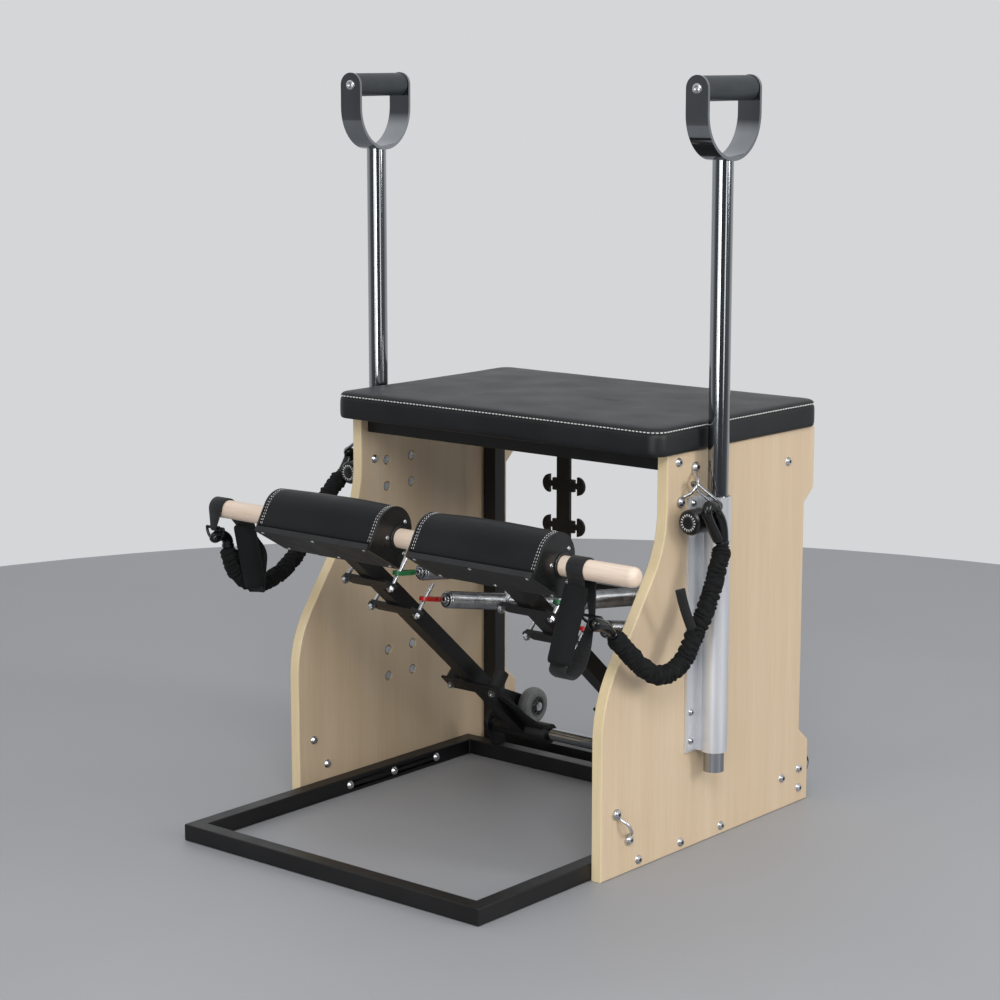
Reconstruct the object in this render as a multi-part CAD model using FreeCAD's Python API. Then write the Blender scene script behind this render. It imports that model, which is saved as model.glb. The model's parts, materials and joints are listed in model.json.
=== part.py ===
import FreeCAD, Part
import math
import os

Vector = FreeCAD.Vector

# Driving dimensions, millimetres and degrees
# Frame: +Z up, pedals towards -Y, origin on the floor under the middle of the front base bar

# Square steel tube of the base, the rear frame and the pedal arms
TUBE = 25.0
TUBE_WALL = 2.0

# Side panels
PANEL_GAP = 566.0
PANEL_THICKNESS = 18.0
PANEL_FRONT_Y = 228.5
PANEL_DEPTH = 520.5
PANEL_HEIGHT = 583.0
PANEL_TOP_SETBACK = 145.0
PANEL_SLOPE = 35.5
PANEL_LOW_BEND_DROP = 383.4
PANEL_LOW_RADIUS = 168.3
PANEL_HIGH_RADIUS = 155.6
PANEL_REAR_STEP = 25.0
PANEL_REAR_STEP_DROP = 94.0
PANEL_REAR_STEP_BOTTOM = 94.0
PANEL_REAR_RAMP = 21.0
PANEL_EDGE_ROUND = 2.0

# Base frame on the floor
BASE_LENGTH = 636.5
BASE_BOLTS_Y = (314.5, 415.9, 516.9)

# Rear frame
REAR_POST_Y = 677.5
REAR_MID_RAIL_Z = 292.5
REAR_LOW_RAIL_Z = 12.5
REAR_GUSSET_LEG = 25.0
REAR_GUSSET_THICKNESS = 5.0
REAR_BOLT_HEIGHT = 47.6
REAR_BOLT_DROP = 46.3

# Seat
SEAT_RAIL_Y = 400.0
SEAT_RAIL_PLUG = 24.0
SEAT_OVERHANG = 31.0
SEAT_BOARD_THICKNESS = 12.0
SEAT_BOARD_INSET = 8.5
SEAT_SIDE_OVERHANG = 6.0
SEAT_FOAM_HEIGHT = 31.5
SEAT_CORNER_RADIUS = 22.0
SEAT_DRAW_IN = 3.0
SEAT_EDGE_DROP = 9.0
SEAT_CROWN_INSETS = (0.0, 1.5, 7.0, 40.0, 120.0)

# Bolts
BOLT_RADIUS = 4.0
BOLT_HEAD_RADIUS = 7.0
BOLT_HEAD_HEIGHT = 4.0
BOLT_CLEARANCE = 0.15
SLEEVE_BOLT_RADIUS = 3.0
SLEEVE_NUT_RADIUS = 6.0
SLEEVE_NUT_HEIGHT = 5.0
SLEEVE_NUT_POCKET = 6.0
SLEEVE_NUT_POCKET_RADIUS = 8.0

# Wire anchor loops on the panels, pairs of bolt places: (y, drop from the panel's top) and (y, z)
ANCHOR_UPPER_DROPS = ((437.6, 23.5), (403.7, 69.3))
ANCHOR_LOWER = ((260.8, 92.1), (289.9, 48.1))
ANCHOR_WIRE_RADIUS = 2.5
ANCHOR_STANDOFF = 15.0
ANCHOR_EYE_RADIUS = 7.5
ANCHOR_EYE_THICKNESS = 3.0

# Spring trees
TREE_X = (-112.0, 190.5)
TREE_WIDTH = 26.0
TREE_THICKNESS = 6.0
TREE_BOTTOM_Z = 238.0
TREE_ROWS_Z = (457.5, 391.0, 324.5, 258.0)
TREE_ARM_LENGTH = 9.0
TREE_ARM_HEIGHT = 20.0
TREE_NECK_LENGTH = 6.0
TREE_NECK_HEIGHT = 9.0
TREE_HEAD_LENGTH = 14.0
TREE_HEAD_HEIGHT = 30.0

# Pedal pivot
PIVOT_Y = 598.0
PIVOT_Z = 65.0
PIVOT_INSET = 26.0
SHAFT_RADIUS = 10.0
SHAFT_CLEARANCE = 0.05
BRACKET_THICKNESS = 8.0
BRACKET_RADIUS = 19.0
BRACKET_FACES_X = (-210.0, 247.0)
SHAFT_END = 2.0

# Pedal arms
ARM_X = (-140.0, 162.5)
ARM_ANGLE = 41.5
HUB_RADIUS = 16.0
HUB_LENGTH = 108.0
HUB_WEB_LENGTH = 110.0
HUB_WEB_THICKNESS = 5.0
ARM_PLATE_WIDTH = 60.0
ARM_PLATE_HEIGHT = 42.0
ARM_PLATE_THICKNESS = 5.0
LUG_DISTANCES = (395.0, 471.0)
LUG_HALF_SPAN = 56.0
LUG_SHOULDER = 41.0
LUG_HALF_WIDTH = 12.0
LUG_THICKNESS = 4.0
STUD_OFFSET = 45.0
STUD_RADIUS = 3.0
STUD_TOP = 36.0
STUD_CLEARANCE = 0.15
NUT_RADIUS = 5.8
NUT_HEIGHT = 5.5
STUD_TIP = 2.5
BUMPER_DISTANCE = 159.0
BUMPER_OFFSET = 42.0
BUMPER_RADIUS = 13.0
BUMPER_HEIGHT = 32.0
BUMPER_PLATE_HALF_SPAN = 54.0
BUMPER_PLATE_HALF_WIDTH = 16.0
BUMPER_STUD_DEPTH = 10.0

# Pedal pads, profile in the pad's own frame with the dowel at the origin
DOWEL_Y = 155.0
DOWEL_Z = 461.0
DOWEL_RADIUS = 14.0
DOWEL_LENGTH = 800.0
DOWEL_CENTRE_X = 16.0
DOWEL_END_ROUND = 10.0
DOWEL_CLEARANCE = 0.1
PAD_TILT = 30.2
PAD_CENTRES_X = (-119.5, 175.5)
PAD_LENGTH = 227.0
PAD_WIDTH = 77.5
PAD_BACK = 24.9
PAD_BOTTOM = -38.7
PAD_SIDE_TOP = 4.0
PAD_CROWN = 2.5
PAD_BOARD_THICKNESS = 8.0
PAD_PLATE_THICKNESS = 3.0

# Springs
SPRING_RADIUS = 10.5
SPRING_WIRE_RADIUS = 1.5
SPRING_TURNS = 14
SPRING_CONE_TURNS = 1
SPRING_CONE_START = 4.0
SPRING_LEAD = 8.0
SPRING_LUG_HEIGHTS = (10.0, 8.0)
LOOP_LENGTH = 36.0
LOOP_WIDTH = 19.0
LOOP_THICKNESS = 6.0
LOOP_BAND = 5.0
LOOP_STEM_RADIUS = 4.0
LOOP_STEM_LENGTH = 5.0
SEAT_GAP = 0.3

# Poles, sleeves and clamp knobs
POLE_RADIUS = 15.0
POLE_WALL = 2.0
POLE_OFFSET = 25.0
POLE_Y = 460.4
POLE_BOTTOM_Z = 115.0
POLE_TOP_Z = 988.0
HANDLE_TURNS = (6.0, 0.0)
BOW_RADIUS = 62.5
BOW_THICKNESS = 4.5
BOW_WIDTH = 37.0
BOW_GRIP_HEIGHT = 99.0
GRIP_RADIUS = 17.5
GRIP_END_ROUND = 3.0
LINER_WALL = 1.5
LINER_TOP_LENGTH = 14.0
LINER_CLEARANCE = 0.05
SLEEVE_WALL = 2.4
SLEEVE_BOTTOM_Z = 145.0
SLEEVE_TOP_DROP = 65.0
SLEEVE_FLANGE_WIDTH = 78.0
SLEEVE_FLANGE_THICKNESS = 4.0
SLEEVE_WEB_WIDTH = 28.0
SLEEVE_BOLT_PITCH_Y = 57.0
SLEEVE_BOLT_RISES = (16.0, 58.5)
SLEEVE_BOLT_DROPS = (51.0, 9.2)
KNOB_DROP = 29.0
KNOB_RADIUS = 18.0
KNOB_LENGTH = 34.0
KNOB_EDGE_ROUND = 2.5
KNOB_COLLAR_RADIUS = 11.5
KNOB_COLLAR_LENGTH = 11.0
KNOB_SCREW_RADIUS = 4.0
KNOB_SCREW_CLEARANCE = 0.1
SLEEVE_BOSS_RADIUS = 12.0
SLEEVE_BOSS_LENGTH = 6.0

# Transport wheels
WHEEL_Y = 767.0
WHEEL_Z = 47.0
WHEEL_RADIUS = 31.0
WHEEL_WIDTH = 22.0
TYRE_INNER_RADIUS = 18.0
TYRE_ROUND = 8.0
HUB_RIM = 3.0
WHEEL_HUB_RADIUS = 8.0
WHEEL_SPOKES = 5
WHEEL_SPOKE_WIDTH = 5.0
AXLE_RADIUS = 4.0
AXLE_CLEARANCE = 0.08
WHEEL_BRACKET_THICKNESS = 6.0
WHEEL_BRACKET_RADIUS = 15.0
WHEEL_BRACKET_BOLTS = ((724.6, 52.7), (724.6, 22.3))
WHEEL_SPACER = 5.0
WHEEL_SIDE_GAP = 0.3

# Strap handles hung over the dowel, places as (x, y, z) from the dowel's axis at the strap
STRAP_WIDTH = 28.0
STRAP_THICKNESS = 2.4
STRAP_GAP = 0.3
STRAP_TAIL = 12.0
GRIP_FOAM_RADIUS = 16.0
RIGHT_STRAP_X = 320.0
RIGHT_GRIP_PLACES = ((0.0, -11.0, -27.0), (0.0, -47.0, -122.0))
RIGHT_RING_PLACE = (2.0, 23.0, -69.0)
LEFT_STRAP_X = -364.0
LEFT_GRIP_PLACES = ((27.0, 17.0, -23.0), (42.0, 25.0, -118.0))
LEFT_SLACK_PLACE = (28.0, 51.0, -69.0)
LEFT_EYE_PLACE = (0.0, -16.5, -27.0)
RING_WIRE_RADIUS = 2.2
RING_HALF_WIDTH = 17.5
RING_LENGTH = 20.0

# Elastic cords, routes from the upper hook to the lower hook for one height of the panels
CORD_RADIUS = 13.0
CORD_PANEL_HEIGHT = 583.0
RIGHT_ROUTE = (
    (356, 431, 455),
    (355, 421.6, 422.3),
    (353, 399.2, 372.1),
    (350, 375.2, 330.5),
    (346, 336.4, 302.3),
    (341, 288.9, 295.6),
    (336, 243.8, 312),
    (332, 211.1, 347.1),
)
LEFT_ROUTE = (
    (-356, 379, 470),
    (-356, 349, 442),
    (-356, 320, 386),
    (-355, 288, 350),
    (-355, 245, 332),
    (-357, 201, 335),
    (-360, 165, 354),
    (-363, 141, 386.5),
)
HOOK_WIRE = 5.0
HOOK_WIDTH = 20.0
FERRULE_RADIUS = 10.0
FERRULE_LENGTH = 11.0
LINK_WIRE = 4.5
LINK_WIDTH = 24.0
LINK_PLACES = ((-354.0, 419.0, 72.0), (346.0, 435.0, 73.0))
CHAIN_GAP = 1.0
ANCHOR_GAP = 1.8

# Derived places
HALF_GAP = PANEL_GAP / 2
PANEL_FACE = HALF_GAP + PANEL_THICKNESS
PANEL_BACK_Y = PANEL_FRONT_Y + PANEL_DEPTH
PANEL_LOW_BEND_Z = PANEL_HEIGHT - PANEL_LOW_BEND_DROP
PANEL_REAR_STEP_TOP = PANEL_HEIGHT - PANEL_REAR_STEP_DROP
BASE_BACK_Y = PIVOT_Y + PIVOT_INSET
BASE_FRONT_Y = BASE_BACK_Y - BASE_LENGTH
BASE_BAR_Z = TUBE / 2
REAR_BOLTS_Z = (REAR_BOLT_HEIGHT, PANEL_HEIGHT - REAR_BOLT_DROP)
ANCHOR_UPPER = tuple((y, PANEL_HEIGHT - drop) for y, drop in ANCHOR_UPPER_DROPS)
LINK_JOINTS = tuple(Vector(x, y, PANEL_HEIGHT - drop) for x, y, drop in LINK_PLACES)
REAR_FRONT_Y = REAR_POST_Y - TUBE / 2
REAR_BACK_Y = REAR_POST_Y + TUBE / 2
SEAT_RAIL_Z = PANEL_HEIGHT - TUBE / 2
POLE_X = PANEL_FACE + POLE_OFFSET
LINER_RADIUS = POLE_RADIUS + LINER_CLEARANCE + LINER_WALL
SLEEVE_BORE = LINER_RADIUS + LINER_CLEARANCE
SLEEVE_RADIUS = SLEEVE_BORE + SLEEVE_WALL
SLEEVE_TOP_Z = PANEL_HEIGHT - SLEEVE_TOP_DROP
SLEEVE_BOLTS_Z = (tuple(SLEEVE_BOTTOM_Z + rise for rise in SLEEVE_BOLT_RISES)
                  + tuple(SLEEVE_TOP_Z - drop for drop in SLEEVE_BOLT_DROPS))
KNOB_Z = SLEEVE_TOP_Z - KNOB_DROP
BOW_CENTRE_Z = POLE_TOP_Z + BOW_RADIUS + BOW_THICKNESS / 2
GRIP_Z = POLE_TOP_Z + BOW_GRIP_HEIGHT
BOSS_FACE_Y = POLE_Y - SLEEVE_RADIUS - SLEEVE_BOSS_LENGTH
PIVOT = Vector(0, PIVOT_Y, PIVOT_Z)
DOWEL = Vector(0, DOWEL_Y, DOWEL_Z)
X_AXIS = Vector(1, 0, 0)
Y_AXIS = Vector(0, 1, 0)
Z_AXIS = Vector(0, 0, 1)
SIDES = (("left", -1, 0), ("right", 1, 1))


def from_dowel(strap_x, place):
    """Point given by its distances from the dowel's axis at a strap."""
    return Vector(strap_x + place[0], DOWEL_Y + place[1], DOWEL_Z + place[2])


def risen(route):
    """Cord route whose upper end follows the height of the panels and whose lower end stays."""
    rise = PANEL_HEIGHT - CORD_PANEL_HEIGHT
    last = len(route) - 1
    return tuple((x, y, z + rise * (last - i) / last) for i, (x, y, z) in enumerate(route))


RIGHT_GRIP = tuple(from_dowel(RIGHT_STRAP_X, place) for place in RIGHT_GRIP_PLACES)
RIGHT_RING_CORNER = from_dowel(RIGHT_STRAP_X, RIGHT_RING_PLACE)
LEFT_GRIP = tuple(from_dowel(LEFT_STRAP_X, place) for place in LEFT_GRIP_PLACES)
LEFT_STRAP_SLACK = from_dowel(LEFT_STRAP_X, LEFT_SLACK_PLACE)
LEFT_RING_EYE = from_dowel(LEFT_STRAP_X, LEFT_EYE_PLACE)
RIGHT_CORD = risen(RIGHT_ROUTE)
LEFT_CORD = risen(LEFT_ROUTE)

parts = {}


# Basic shapes

def box(x_low, x_high, y_low, y_high, z_low, z_high):
    return Part.makeBox(x_high - x_low, y_high - y_low, z_high - z_low, Vector(x_low, y_low, z_low))


def side_box(side, x_near, x_far, y_low, y_high, z_low, z_high):
    """Box given by its distances from the centre plane, on the left or the right."""
    ends = sorted((side * x_near, side * x_far))
    return box(ends[0], ends[1], y_low, y_high, z_low, z_high)


def rod(start, end, radius):
    return Part.makeCylinder(radius, (end - start).Length, start, end - start)


def rod_x(side, x_near, x_far, y, z, radius):
    return rod(Vector(side * x_near, y, z), Vector(side * x_far, y, z), radius)


def join(shapes):
    shape = shapes[0].multiFuse(list(shapes[1:]))
    return shape.removeSplitter()


def hollow_bar(outer, axis):
    """Square tube from its outer box, open at both ends along the axis."""
    b = outer.BoundBox
    wall = [0.0 if axis == i else TUBE_WALL for i in range(3)]
    inner = box(b.XMin + wall[0], b.XMax - wall[0], b.YMin + wall[1], b.YMax - wall[1],
                b.ZMin + wall[2], b.ZMax - wall[2])
    return outer.cut(inner)


def wire_of(edges):
    return Part.Wire(Part.__sortEdges__(edges))


def line(start, end):
    return Part.LineSegment(start, end).toShape()


def arc(start, middle, end):
    return Part.Arc(start, middle, end).toShape()


def prism(wire, travel):
    return Part.Face(wire).extrude(travel)


def polygon_prism(points, travel):
    return prism(Part.makePolygon(list(points) + [points[0]]), travel)


def revolve(outline, centre, axis):
    """Solid of revolution from (radius, distance along axis) points, about an axis through the centre."""
    axis = Vector(axis).normalize()
    across = axis.cross(Z_AXIS if abs(axis.z) < 0.9 else X_AXIS).normalize()
    points = [centre + across * r + axis * h for r, h in outline]
    face = Part.Face(Part.makePolygon(points + [points[0]]))
    return face.revolve(centre, axis, 360)


def stadium_ring(start, end, across, width, wire, thickness):
    """Flat oval ring whose hole's centre line runs from start to end; width is its outer width."""
    along = (end - start).normalize()
    normal = along.cross(across).normalize()
    side = normal.cross(along).normalize()
    rings = []
    for radius in (width / 2, width / 2 - wire):
        edges = [
            arc(start + side * radius, start - along * radius, start - side * radius),
            line(start - side * radius, end - side * radius),
            arc(end - side * radius, end + along * radius, end + side * radius),
            line(end + side * radius, start + side * radius),
        ]
        rings.append(wire_of(edges))
    outer = prism(rings[0], normal * thickness)
    ring = outer.cut(prism(rings[1], normal * thickness))
    ring.translate(normal * (-thickness / 2))
    return ring


# Tubes along a route of straight runs joined by tangent arcs

def rounded_route(points):
    """Wire, radii and length of a route whose corners are arcs as large as the runs allow."""
    edges = []
    radii = []
    length = 0.0
    last = points[0]
    for before, corner, after in zip(points, points[1:], points[2:]):
        way_in = (corner - before).normalize()
        way_out = (after - corner).normalize()
        half_turn = way_in.getAngle(way_out) / 2
        reach = 0.45 * min((corner - before).Length, (after - corner).Length)
        radius = reach / math.tan(half_turn)
        inward = (way_out - way_in).normalize()
        start = corner - way_in * reach
        end = corner + way_out * reach
        middle = corner + inward * (radius / math.cos(half_turn) - radius)
        edges.append(line(last, start))
        edges.append(arc(start, middle, end))
        length += (start - last).Length + radius * half_turn * 2
        radii.append(radius)
        last = end
    edges.append(line(last, points[-1]))
    length += (points[-1] - last).Length
    return Part.Wire(edges), radii, length


def swept(wire, start, direction, radius):
    """Round tube of one radius swept along a wire that begins at start."""
    profile = Part.Wire(Part.Circle(start, direction, radius).toShape())
    return wire.makePipeShell([profile], True, False)


def cord(name, route):
    points = [Vector(*p) for p in route]
    wire, radii, length = rounded_route(points)
    tube = swept(wire, points[0], points[1] - points[0], CORD_RADIUS)
    expected = math.pi * CORD_RADIUS ** 2 * length
    print(name, "length %.1f" % length, "radii", ["%.0f" % r for r in radii],
          "volume ratio %.4f" % (tube.Volume / expected))
    return tube


# Coil springs as one tube on pairs of arcs

def arc_by_control(start, control, end):
    """Circular arc from start to end, tangent to the lines that meet at control."""
    middle = (start + end) * 0.5
    half = (control - start).getAngle(end - start)
    if half < 1e-6:
        return line(start, end)
    top = middle + (control - middle) * (math.tan(half / 2) / math.tan(half))
    return arc(start, top, end)


def biarc(start, way_in, end, way_out):
    """Two arcs that leave start along way_in and reach end along way_out."""
    span = end - start
    both = way_in + way_out
    a = 2 * (1 - way_in.dot(way_out))
    b = 2 * span.dot(both)
    c = -span.dot(span)
    if abs(a) < 1e-9:
        reach = -c / b
    else:
        reach = (-b + math.sqrt(b * b - 4 * a * c)) / (2 * a)
    first = start + way_in * reach
    second = end - way_out * reach
    joint = (first + second) * 0.5
    return [arc_by_control(start, first, joint), arc_by_control(joint, second, end)]


def coil_knots(length):
    """Places and directions along a spring's axis: straight lead, cone, coil, cone, straight lead."""
    turns = SPRING_TURNS + 2 * SPRING_CONE_TURNS
    body = length - 4 * SPRING_LEAD
    per_turn = body / turns
    knots = [(Vector(0, 0, SPRING_LEAD), Vector(0, 0, 1))]
    for step in range(4 * turns + 1):
        turn = step / 4
        from_end = min(turn, turns - turn)
        grow = min(1.0, from_end / SPRING_CONE_TURNS)
        radius = SPRING_CONE_START + (SPRING_RADIUS - SPRING_CONE_START) * grow
        rate = 0.0
        if from_end < SPRING_CONE_TURNS:
            rate = (SPRING_RADIUS - SPRING_CONE_START) / SPRING_CONE_TURNS / (2 * math.pi)
            rate = rate if turn < turns / 2 else -rate
        angle = 2 * math.pi * turn
        c, s = math.cos(angle), math.sin(angle)
        place = Vector(radius * c, radius * s, 2 * SPRING_LEAD + per_turn * turn)
        way = Vector(rate * c - radius * s, rate * s + radius * c, per_turn / (2 * math.pi))
        knots.append((place, way.normalize()))
    knots.append((Vector(0, 0, length - SPRING_LEAD), Vector(0, 0, 1)))
    return knots


def coil_edges(length):
    knots = coil_knots(length)
    edges = [line(Vector(0, 0, 0), knots[0][0])]
    for (start, way_in), (end, way_out) in zip(knots, knots[1:]):
        edges.extend(biarc(start, way_in, end, way_out))
    edges.append(line(knots[-1][0], Vector(0, 0, length)))
    return edges


def least_self_gap(edges):
    """Smallest clear distance between stretches of the tube a turn or more apart, measured on points."""
    samples = []
    for edge in edges:
        samples.extend(edge.discretize(5)[:-1])
    apart = 16
    least = min((samples[i] - samples[j]).Length for i in range(len(samples))
                for j in range(i + apart, len(samples)))
    return least - 2 * SPRING_WIRE_RADIUS


# Placing pieces on the pedals

def on_arm(shape, arm_x):
    """Place a shape drawn with -Y along the arm and +Z square to it, pivot at the origin."""
    shape.rotate(Vector(0, 0, 0), X_AXIS, -ARM_ANGLE)
    shape.translate(PIVOT + Vector(arm_x, 0, 0))
    return shape


def arm_point(arm_x, distance, height):
    a = math.radians(ARM_ANGLE)
    return Vector(arm_x, PIVOT_Y - distance * math.cos(a) + height * math.sin(a),
                  PIVOT_Z + distance * math.sin(a) + height * math.cos(a))


def on_pad(shape):
    """Place a shape drawn in the pad's frame, dowel at the origin, +Z square to the underside."""
    shape.rotate(Vector(0, 0, 0), X_AXIS, -PAD_TILT)
    shape.translate(DOWEL)
    return shape


# Side panels

def panel_outline(x):
    front = PANEL_FRONT_Y
    waist = front + PANEL_TOP_SETBACK
    back = PANEL_BACK_Y
    slope = math.radians(PANEL_SLOPE)

    def at(y, z):
        return Vector(x, y, z)

    def low_arc(angle):
        return at(front + PANEL_LOW_RADIUS * (1 - math.cos(angle)),
                  PANEL_LOW_BEND_Z + PANEL_LOW_RADIUS * math.sin(angle))

    slope_start = low_arc(slope)
    slope_end_y = waist - PANEL_HIGH_RADIUS * (1 - math.cos(slope))
    slope_end_z = slope_start.z + (slope_end_y - slope_start.y) / math.tan(slope)
    high_z = slope_end_z + PANEL_HIGH_RADIUS * math.sin(slope)

    def high_arc(angle):
        return at(waist - PANEL_HIGH_RADIUS * (1 - math.cos(angle)),
                  high_z - PANEL_HIGH_RADIUS * math.sin(angle))

    inset = back - PANEL_REAR_STEP
    corners = [
        high_arc(0),
        at(waist, PANEL_HEIGHT),
        at(back, PANEL_HEIGHT),
        at(back, PANEL_REAR_STEP_TOP),
        at(inset, PANEL_REAR_STEP_TOP - PANEL_REAR_RAMP),
        at(inset, PANEL_REAR_STEP_BOTTOM + PANEL_REAR_RAMP),
        at(back, PANEL_REAR_STEP_BOTTOM),
        at(back, 0),
        at(front, 0),
        low_arc(0),
    ]
    edges = [line(a, b) for a, b in zip(corners, corners[1:])]
    edges.append(arc(low_arc(0), low_arc(slope / 2), slope_start))
    edges.append(line(slope_start, high_arc(slope)))
    edges.append(arc(high_arc(slope), high_arc(slope / 2), high_arc(0)))
    return wire_of(edges)


def frame_bolt_places():
    """Bolts through each panel as (y, z, distance of the inner end from the centre plane)."""
    inner_tube = HALF_GAP - TUBE
    places = [(y, BASE_BAR_Z, inner_tube) for y in BASE_BOLTS_Y]
    places += [(REAR_POST_Y, z, inner_tube) for z in REAR_BOLTS_Z]
    places += [(y, z, HALF_GAP - WHEEL_BRACKET_THICKNESS) for y, z in WHEEL_BRACKET_BOLTS]
    places += [(y, z, HALF_GAP) for y, z in ANCHOR_UPPER + ANCHOR_LOWER]
    return places


def seat_rail_bolt():
    return SEAT_RAIL_Y, SEAT_RAIL_Z, HALF_GAP - SEAT_RAIL_PLUG


def sleeve_bolt_places():
    offsets = (-SLEEVE_BOLT_PITCH_Y / 2, SLEEVE_BOLT_PITCH_Y / 2)
    return [(POLE_Y + dy, z) for z in SLEEVE_BOLTS_Z for dy in offsets]


def bolt_holes(side):
    radius = BOLT_RADIUS + BOLT_CLEARANCE
    places = frame_bolt_places() + [seat_rail_bolt()]
    return [rod_x(side, inner, PANEL_FACE, y, z, radius) for y, z, inner in places]


def side_panel(side):
    x_low = min(side * HALF_GAP, side * PANEL_FACE)
    panel = prism(panel_outline(x_low), X_AXIS * PANEL_THICKNESS)
    rim = [e for e in panel.Edges if e.BoundBox.XLength < 1e-6]
    panel = panel.makeFillet(PANEL_EDGE_ROUND, rim)
    cutters = bolt_holes(side)
    for y, z in sleeve_bolt_places():
        cutters.append(rod_x(side, HALF_GAP, PANEL_FACE, y, z, SLEEVE_BOLT_RADIUS + BOLT_CLEARANCE))
        cutters.append(rod_x(side, HALF_GAP, HALF_GAP + SLEEVE_NUT_POCKET, y, z, SLEEVE_NUT_POCKET_RADIUS))
    return panel.cut(cutters)


# Base and rear frames

def base_frame():
    half = HALF_GAP
    outer = box(-half, half, BASE_FRONT_Y, BASE_BACK_Y, 0, TUBE)
    window = box(-half + TUBE, half - TUBE, BASE_FRONT_Y + TUBE, BASE_BACK_Y - TUBE, 0, TUBE)
    w = TUBE_WALL
    bore = box(-half + w, half - w, BASE_FRONT_Y + w, BASE_BACK_Y - w, w, TUBE - w)
    core = box(-half + TUBE - w, half - TUBE + w, BASE_FRONT_Y + TUBE - w, BASE_BACK_Y - TUBE + w, 0, TUBE)
    frame = outer.cut(window).cut(bore.cut(core))
    return frame.cut(bolt_holes(-1) + bolt_holes(1))


def rear_frame():
    inner = HALF_GAP - TUBE
    bars = []
    for side in (-1, 1):
        post = side_box(side, inner, HALF_GAP, REAR_FRONT_Y, REAR_BACK_Y, 0, PANEL_HEIGHT)
        bars.append(hollow_bar(post, 2))
    for z in (SEAT_RAIL_Z, REAR_MID_RAIL_Z, REAR_LOW_RAIL_Z):
        rail = box(-inner, inner, REAR_FRONT_Y, REAR_BACK_Y, z - TUBE / 2, z + TUBE / 2)
        bars.append(hollow_bar(rail, 0))
    gusset_y = REAR_FRONT_Y
    gusset_z = SEAT_RAIL_Z - TUBE / 2
    for side in (-1, 1):
        corner = Vector(side * inner, gusset_y, gusset_z)
        points = [corner, corner - X_AXIS * (side * REAR_GUSSET_LEG), corner - Z_AXIS * REAR_GUSSET_LEG]
        bars.append(polygon_prism(points, Y_AXIS * REAR_GUSSET_THICKNESS))
    return join(bars).cut(bolt_holes(-1) + bolt_holes(1))


def spring_tree(tree_x):
    top = PANEL_HEIGHT - TUBE_WALL
    y_low = REAR_FRONT_Y - TREE_THICKNESS
    shapes = [box(tree_x - TREE_WIDTH / 2, tree_x + TREE_WIDTH / 2, y_low, REAR_FRONT_Y, TREE_BOTTOM_Z, top)]
    for z in TREE_ROWS_Z:
        for side in (-1, 1):
            shapes.extend(tree_lug(tree_x, z, side, y_low))
    return join(shapes)


def tree_lug(tree_x, z, side, y_low):
    """Mushroom-shaped lug of a spring tree: arm, neck and half-round head."""
    root = TREE_WIDTH / 2
    neck = root + TREE_ARM_LENGTH
    head = neck + TREE_NECK_LENGTH
    reach = (root, neck, head + TREE_NECK_LENGTH / 2)
    lug = []
    for near, far, height in ((reach[0], reach[1], TREE_ARM_HEIGHT), (reach[1], reach[2], TREE_NECK_HEIGHT)):
        ends = sorted((tree_x + side * near, tree_x + side * far))
        lug.append(box(ends[0], ends[1], y_low, REAR_FRONT_Y, z - height / 2, z + height / 2))

    def at(x, dz):
        return Vector(tree_x + side * x, y_low, z + dz)

    horn = TREE_HEAD_HEIGHT / 2
    head_wire = wire_of([
        arc(at(head, -horn), at(head + TREE_HEAD_LENGTH, 0), at(head, horn)),
        line(at(head, horn), at(head, -horn)),
    ])
    lug.append(prism(head_wire, Y_AXIS * TREE_THICKNESS))
    return lug


# Seat

def seat_rail():
    rail = box(-HALF_GAP, HALF_GAP, SEAT_RAIL_Y - TUBE / 2, SEAT_RAIL_Y + TUBE / 2,
               SEAT_RAIL_Z - TUBE / 2, SEAT_RAIL_Z + TUBE / 2)
    w = TUBE_WALL
    reach = HALF_GAP - SEAT_RAIL_PLUG
    bore = box(-reach, reach, SEAT_RAIL_Y - TUBE / 2 + w, SEAT_RAIL_Y + TUBE / 2 - w,
               SEAT_RAIL_Z - TUBE / 2 + w, SEAT_RAIL_Z + TUBE / 2 - w)
    return rail.cut([bore] + bolt_holes(-1) + bolt_holes(1))


def seat_span(inset):
    front = PANEL_FRONT_Y + PANEL_TOP_SETBACK - SEAT_OVERHANG
    half = PANEL_FACE + SEAT_SIDE_OVERHANG - inset
    return -half, half, front + inset, PANEL_BACK_Y - inset


def seat_section(z, inset, draw_in):
    """Rounded rectangle whose four sides bow inwards by draw_in."""
    x_low, x_high, y_low, y_high = seat_span(inset)
    r = SEAT_CORNER_RADIUS
    d = r * (1 - math.cos(math.pi / 4))
    x_mid = (x_low + x_high) / 2
    y_mid = (y_low + y_high) / 2

    def at(x, y):
        return Vector(x, y, z)

    return wire_of([
        arc(at(x_low + r, y_low), at(x_mid, y_low + draw_in), at(x_high - r, y_low)),
        arc(at(x_high - r, y_low), at(x_high - d, y_low + d), at(x_high, y_low + r)),
        arc(at(x_high, y_low + r), at(x_high - draw_in, y_mid), at(x_high, y_high - r)),
        arc(at(x_high, y_high - r), at(x_high - d, y_high - d), at(x_high - r, y_high)),
        arc(at(x_high - r, y_high), at(x_mid, y_high - draw_in), at(x_low + r, y_high)),
        arc(at(x_low + r, y_high), at(x_low + d, y_high - d), at(x_low, y_high - r)),
        arc(at(x_low, y_high - r), at(x_low + draw_in, y_mid), at(x_low, y_low + r)),
        arc(at(x_low, y_low + r), at(x_low + d, y_low + d), at(x_low + r, y_low)),
    ])


def seat_board():
    x_low, x_high, y_low, y_high = seat_span(SEAT_BOARD_INSET)
    return box(x_low, x_high, y_low, y_high, PANEL_HEIGHT, PANEL_HEIGHT + SEAT_BOARD_THICKNESS)


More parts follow.
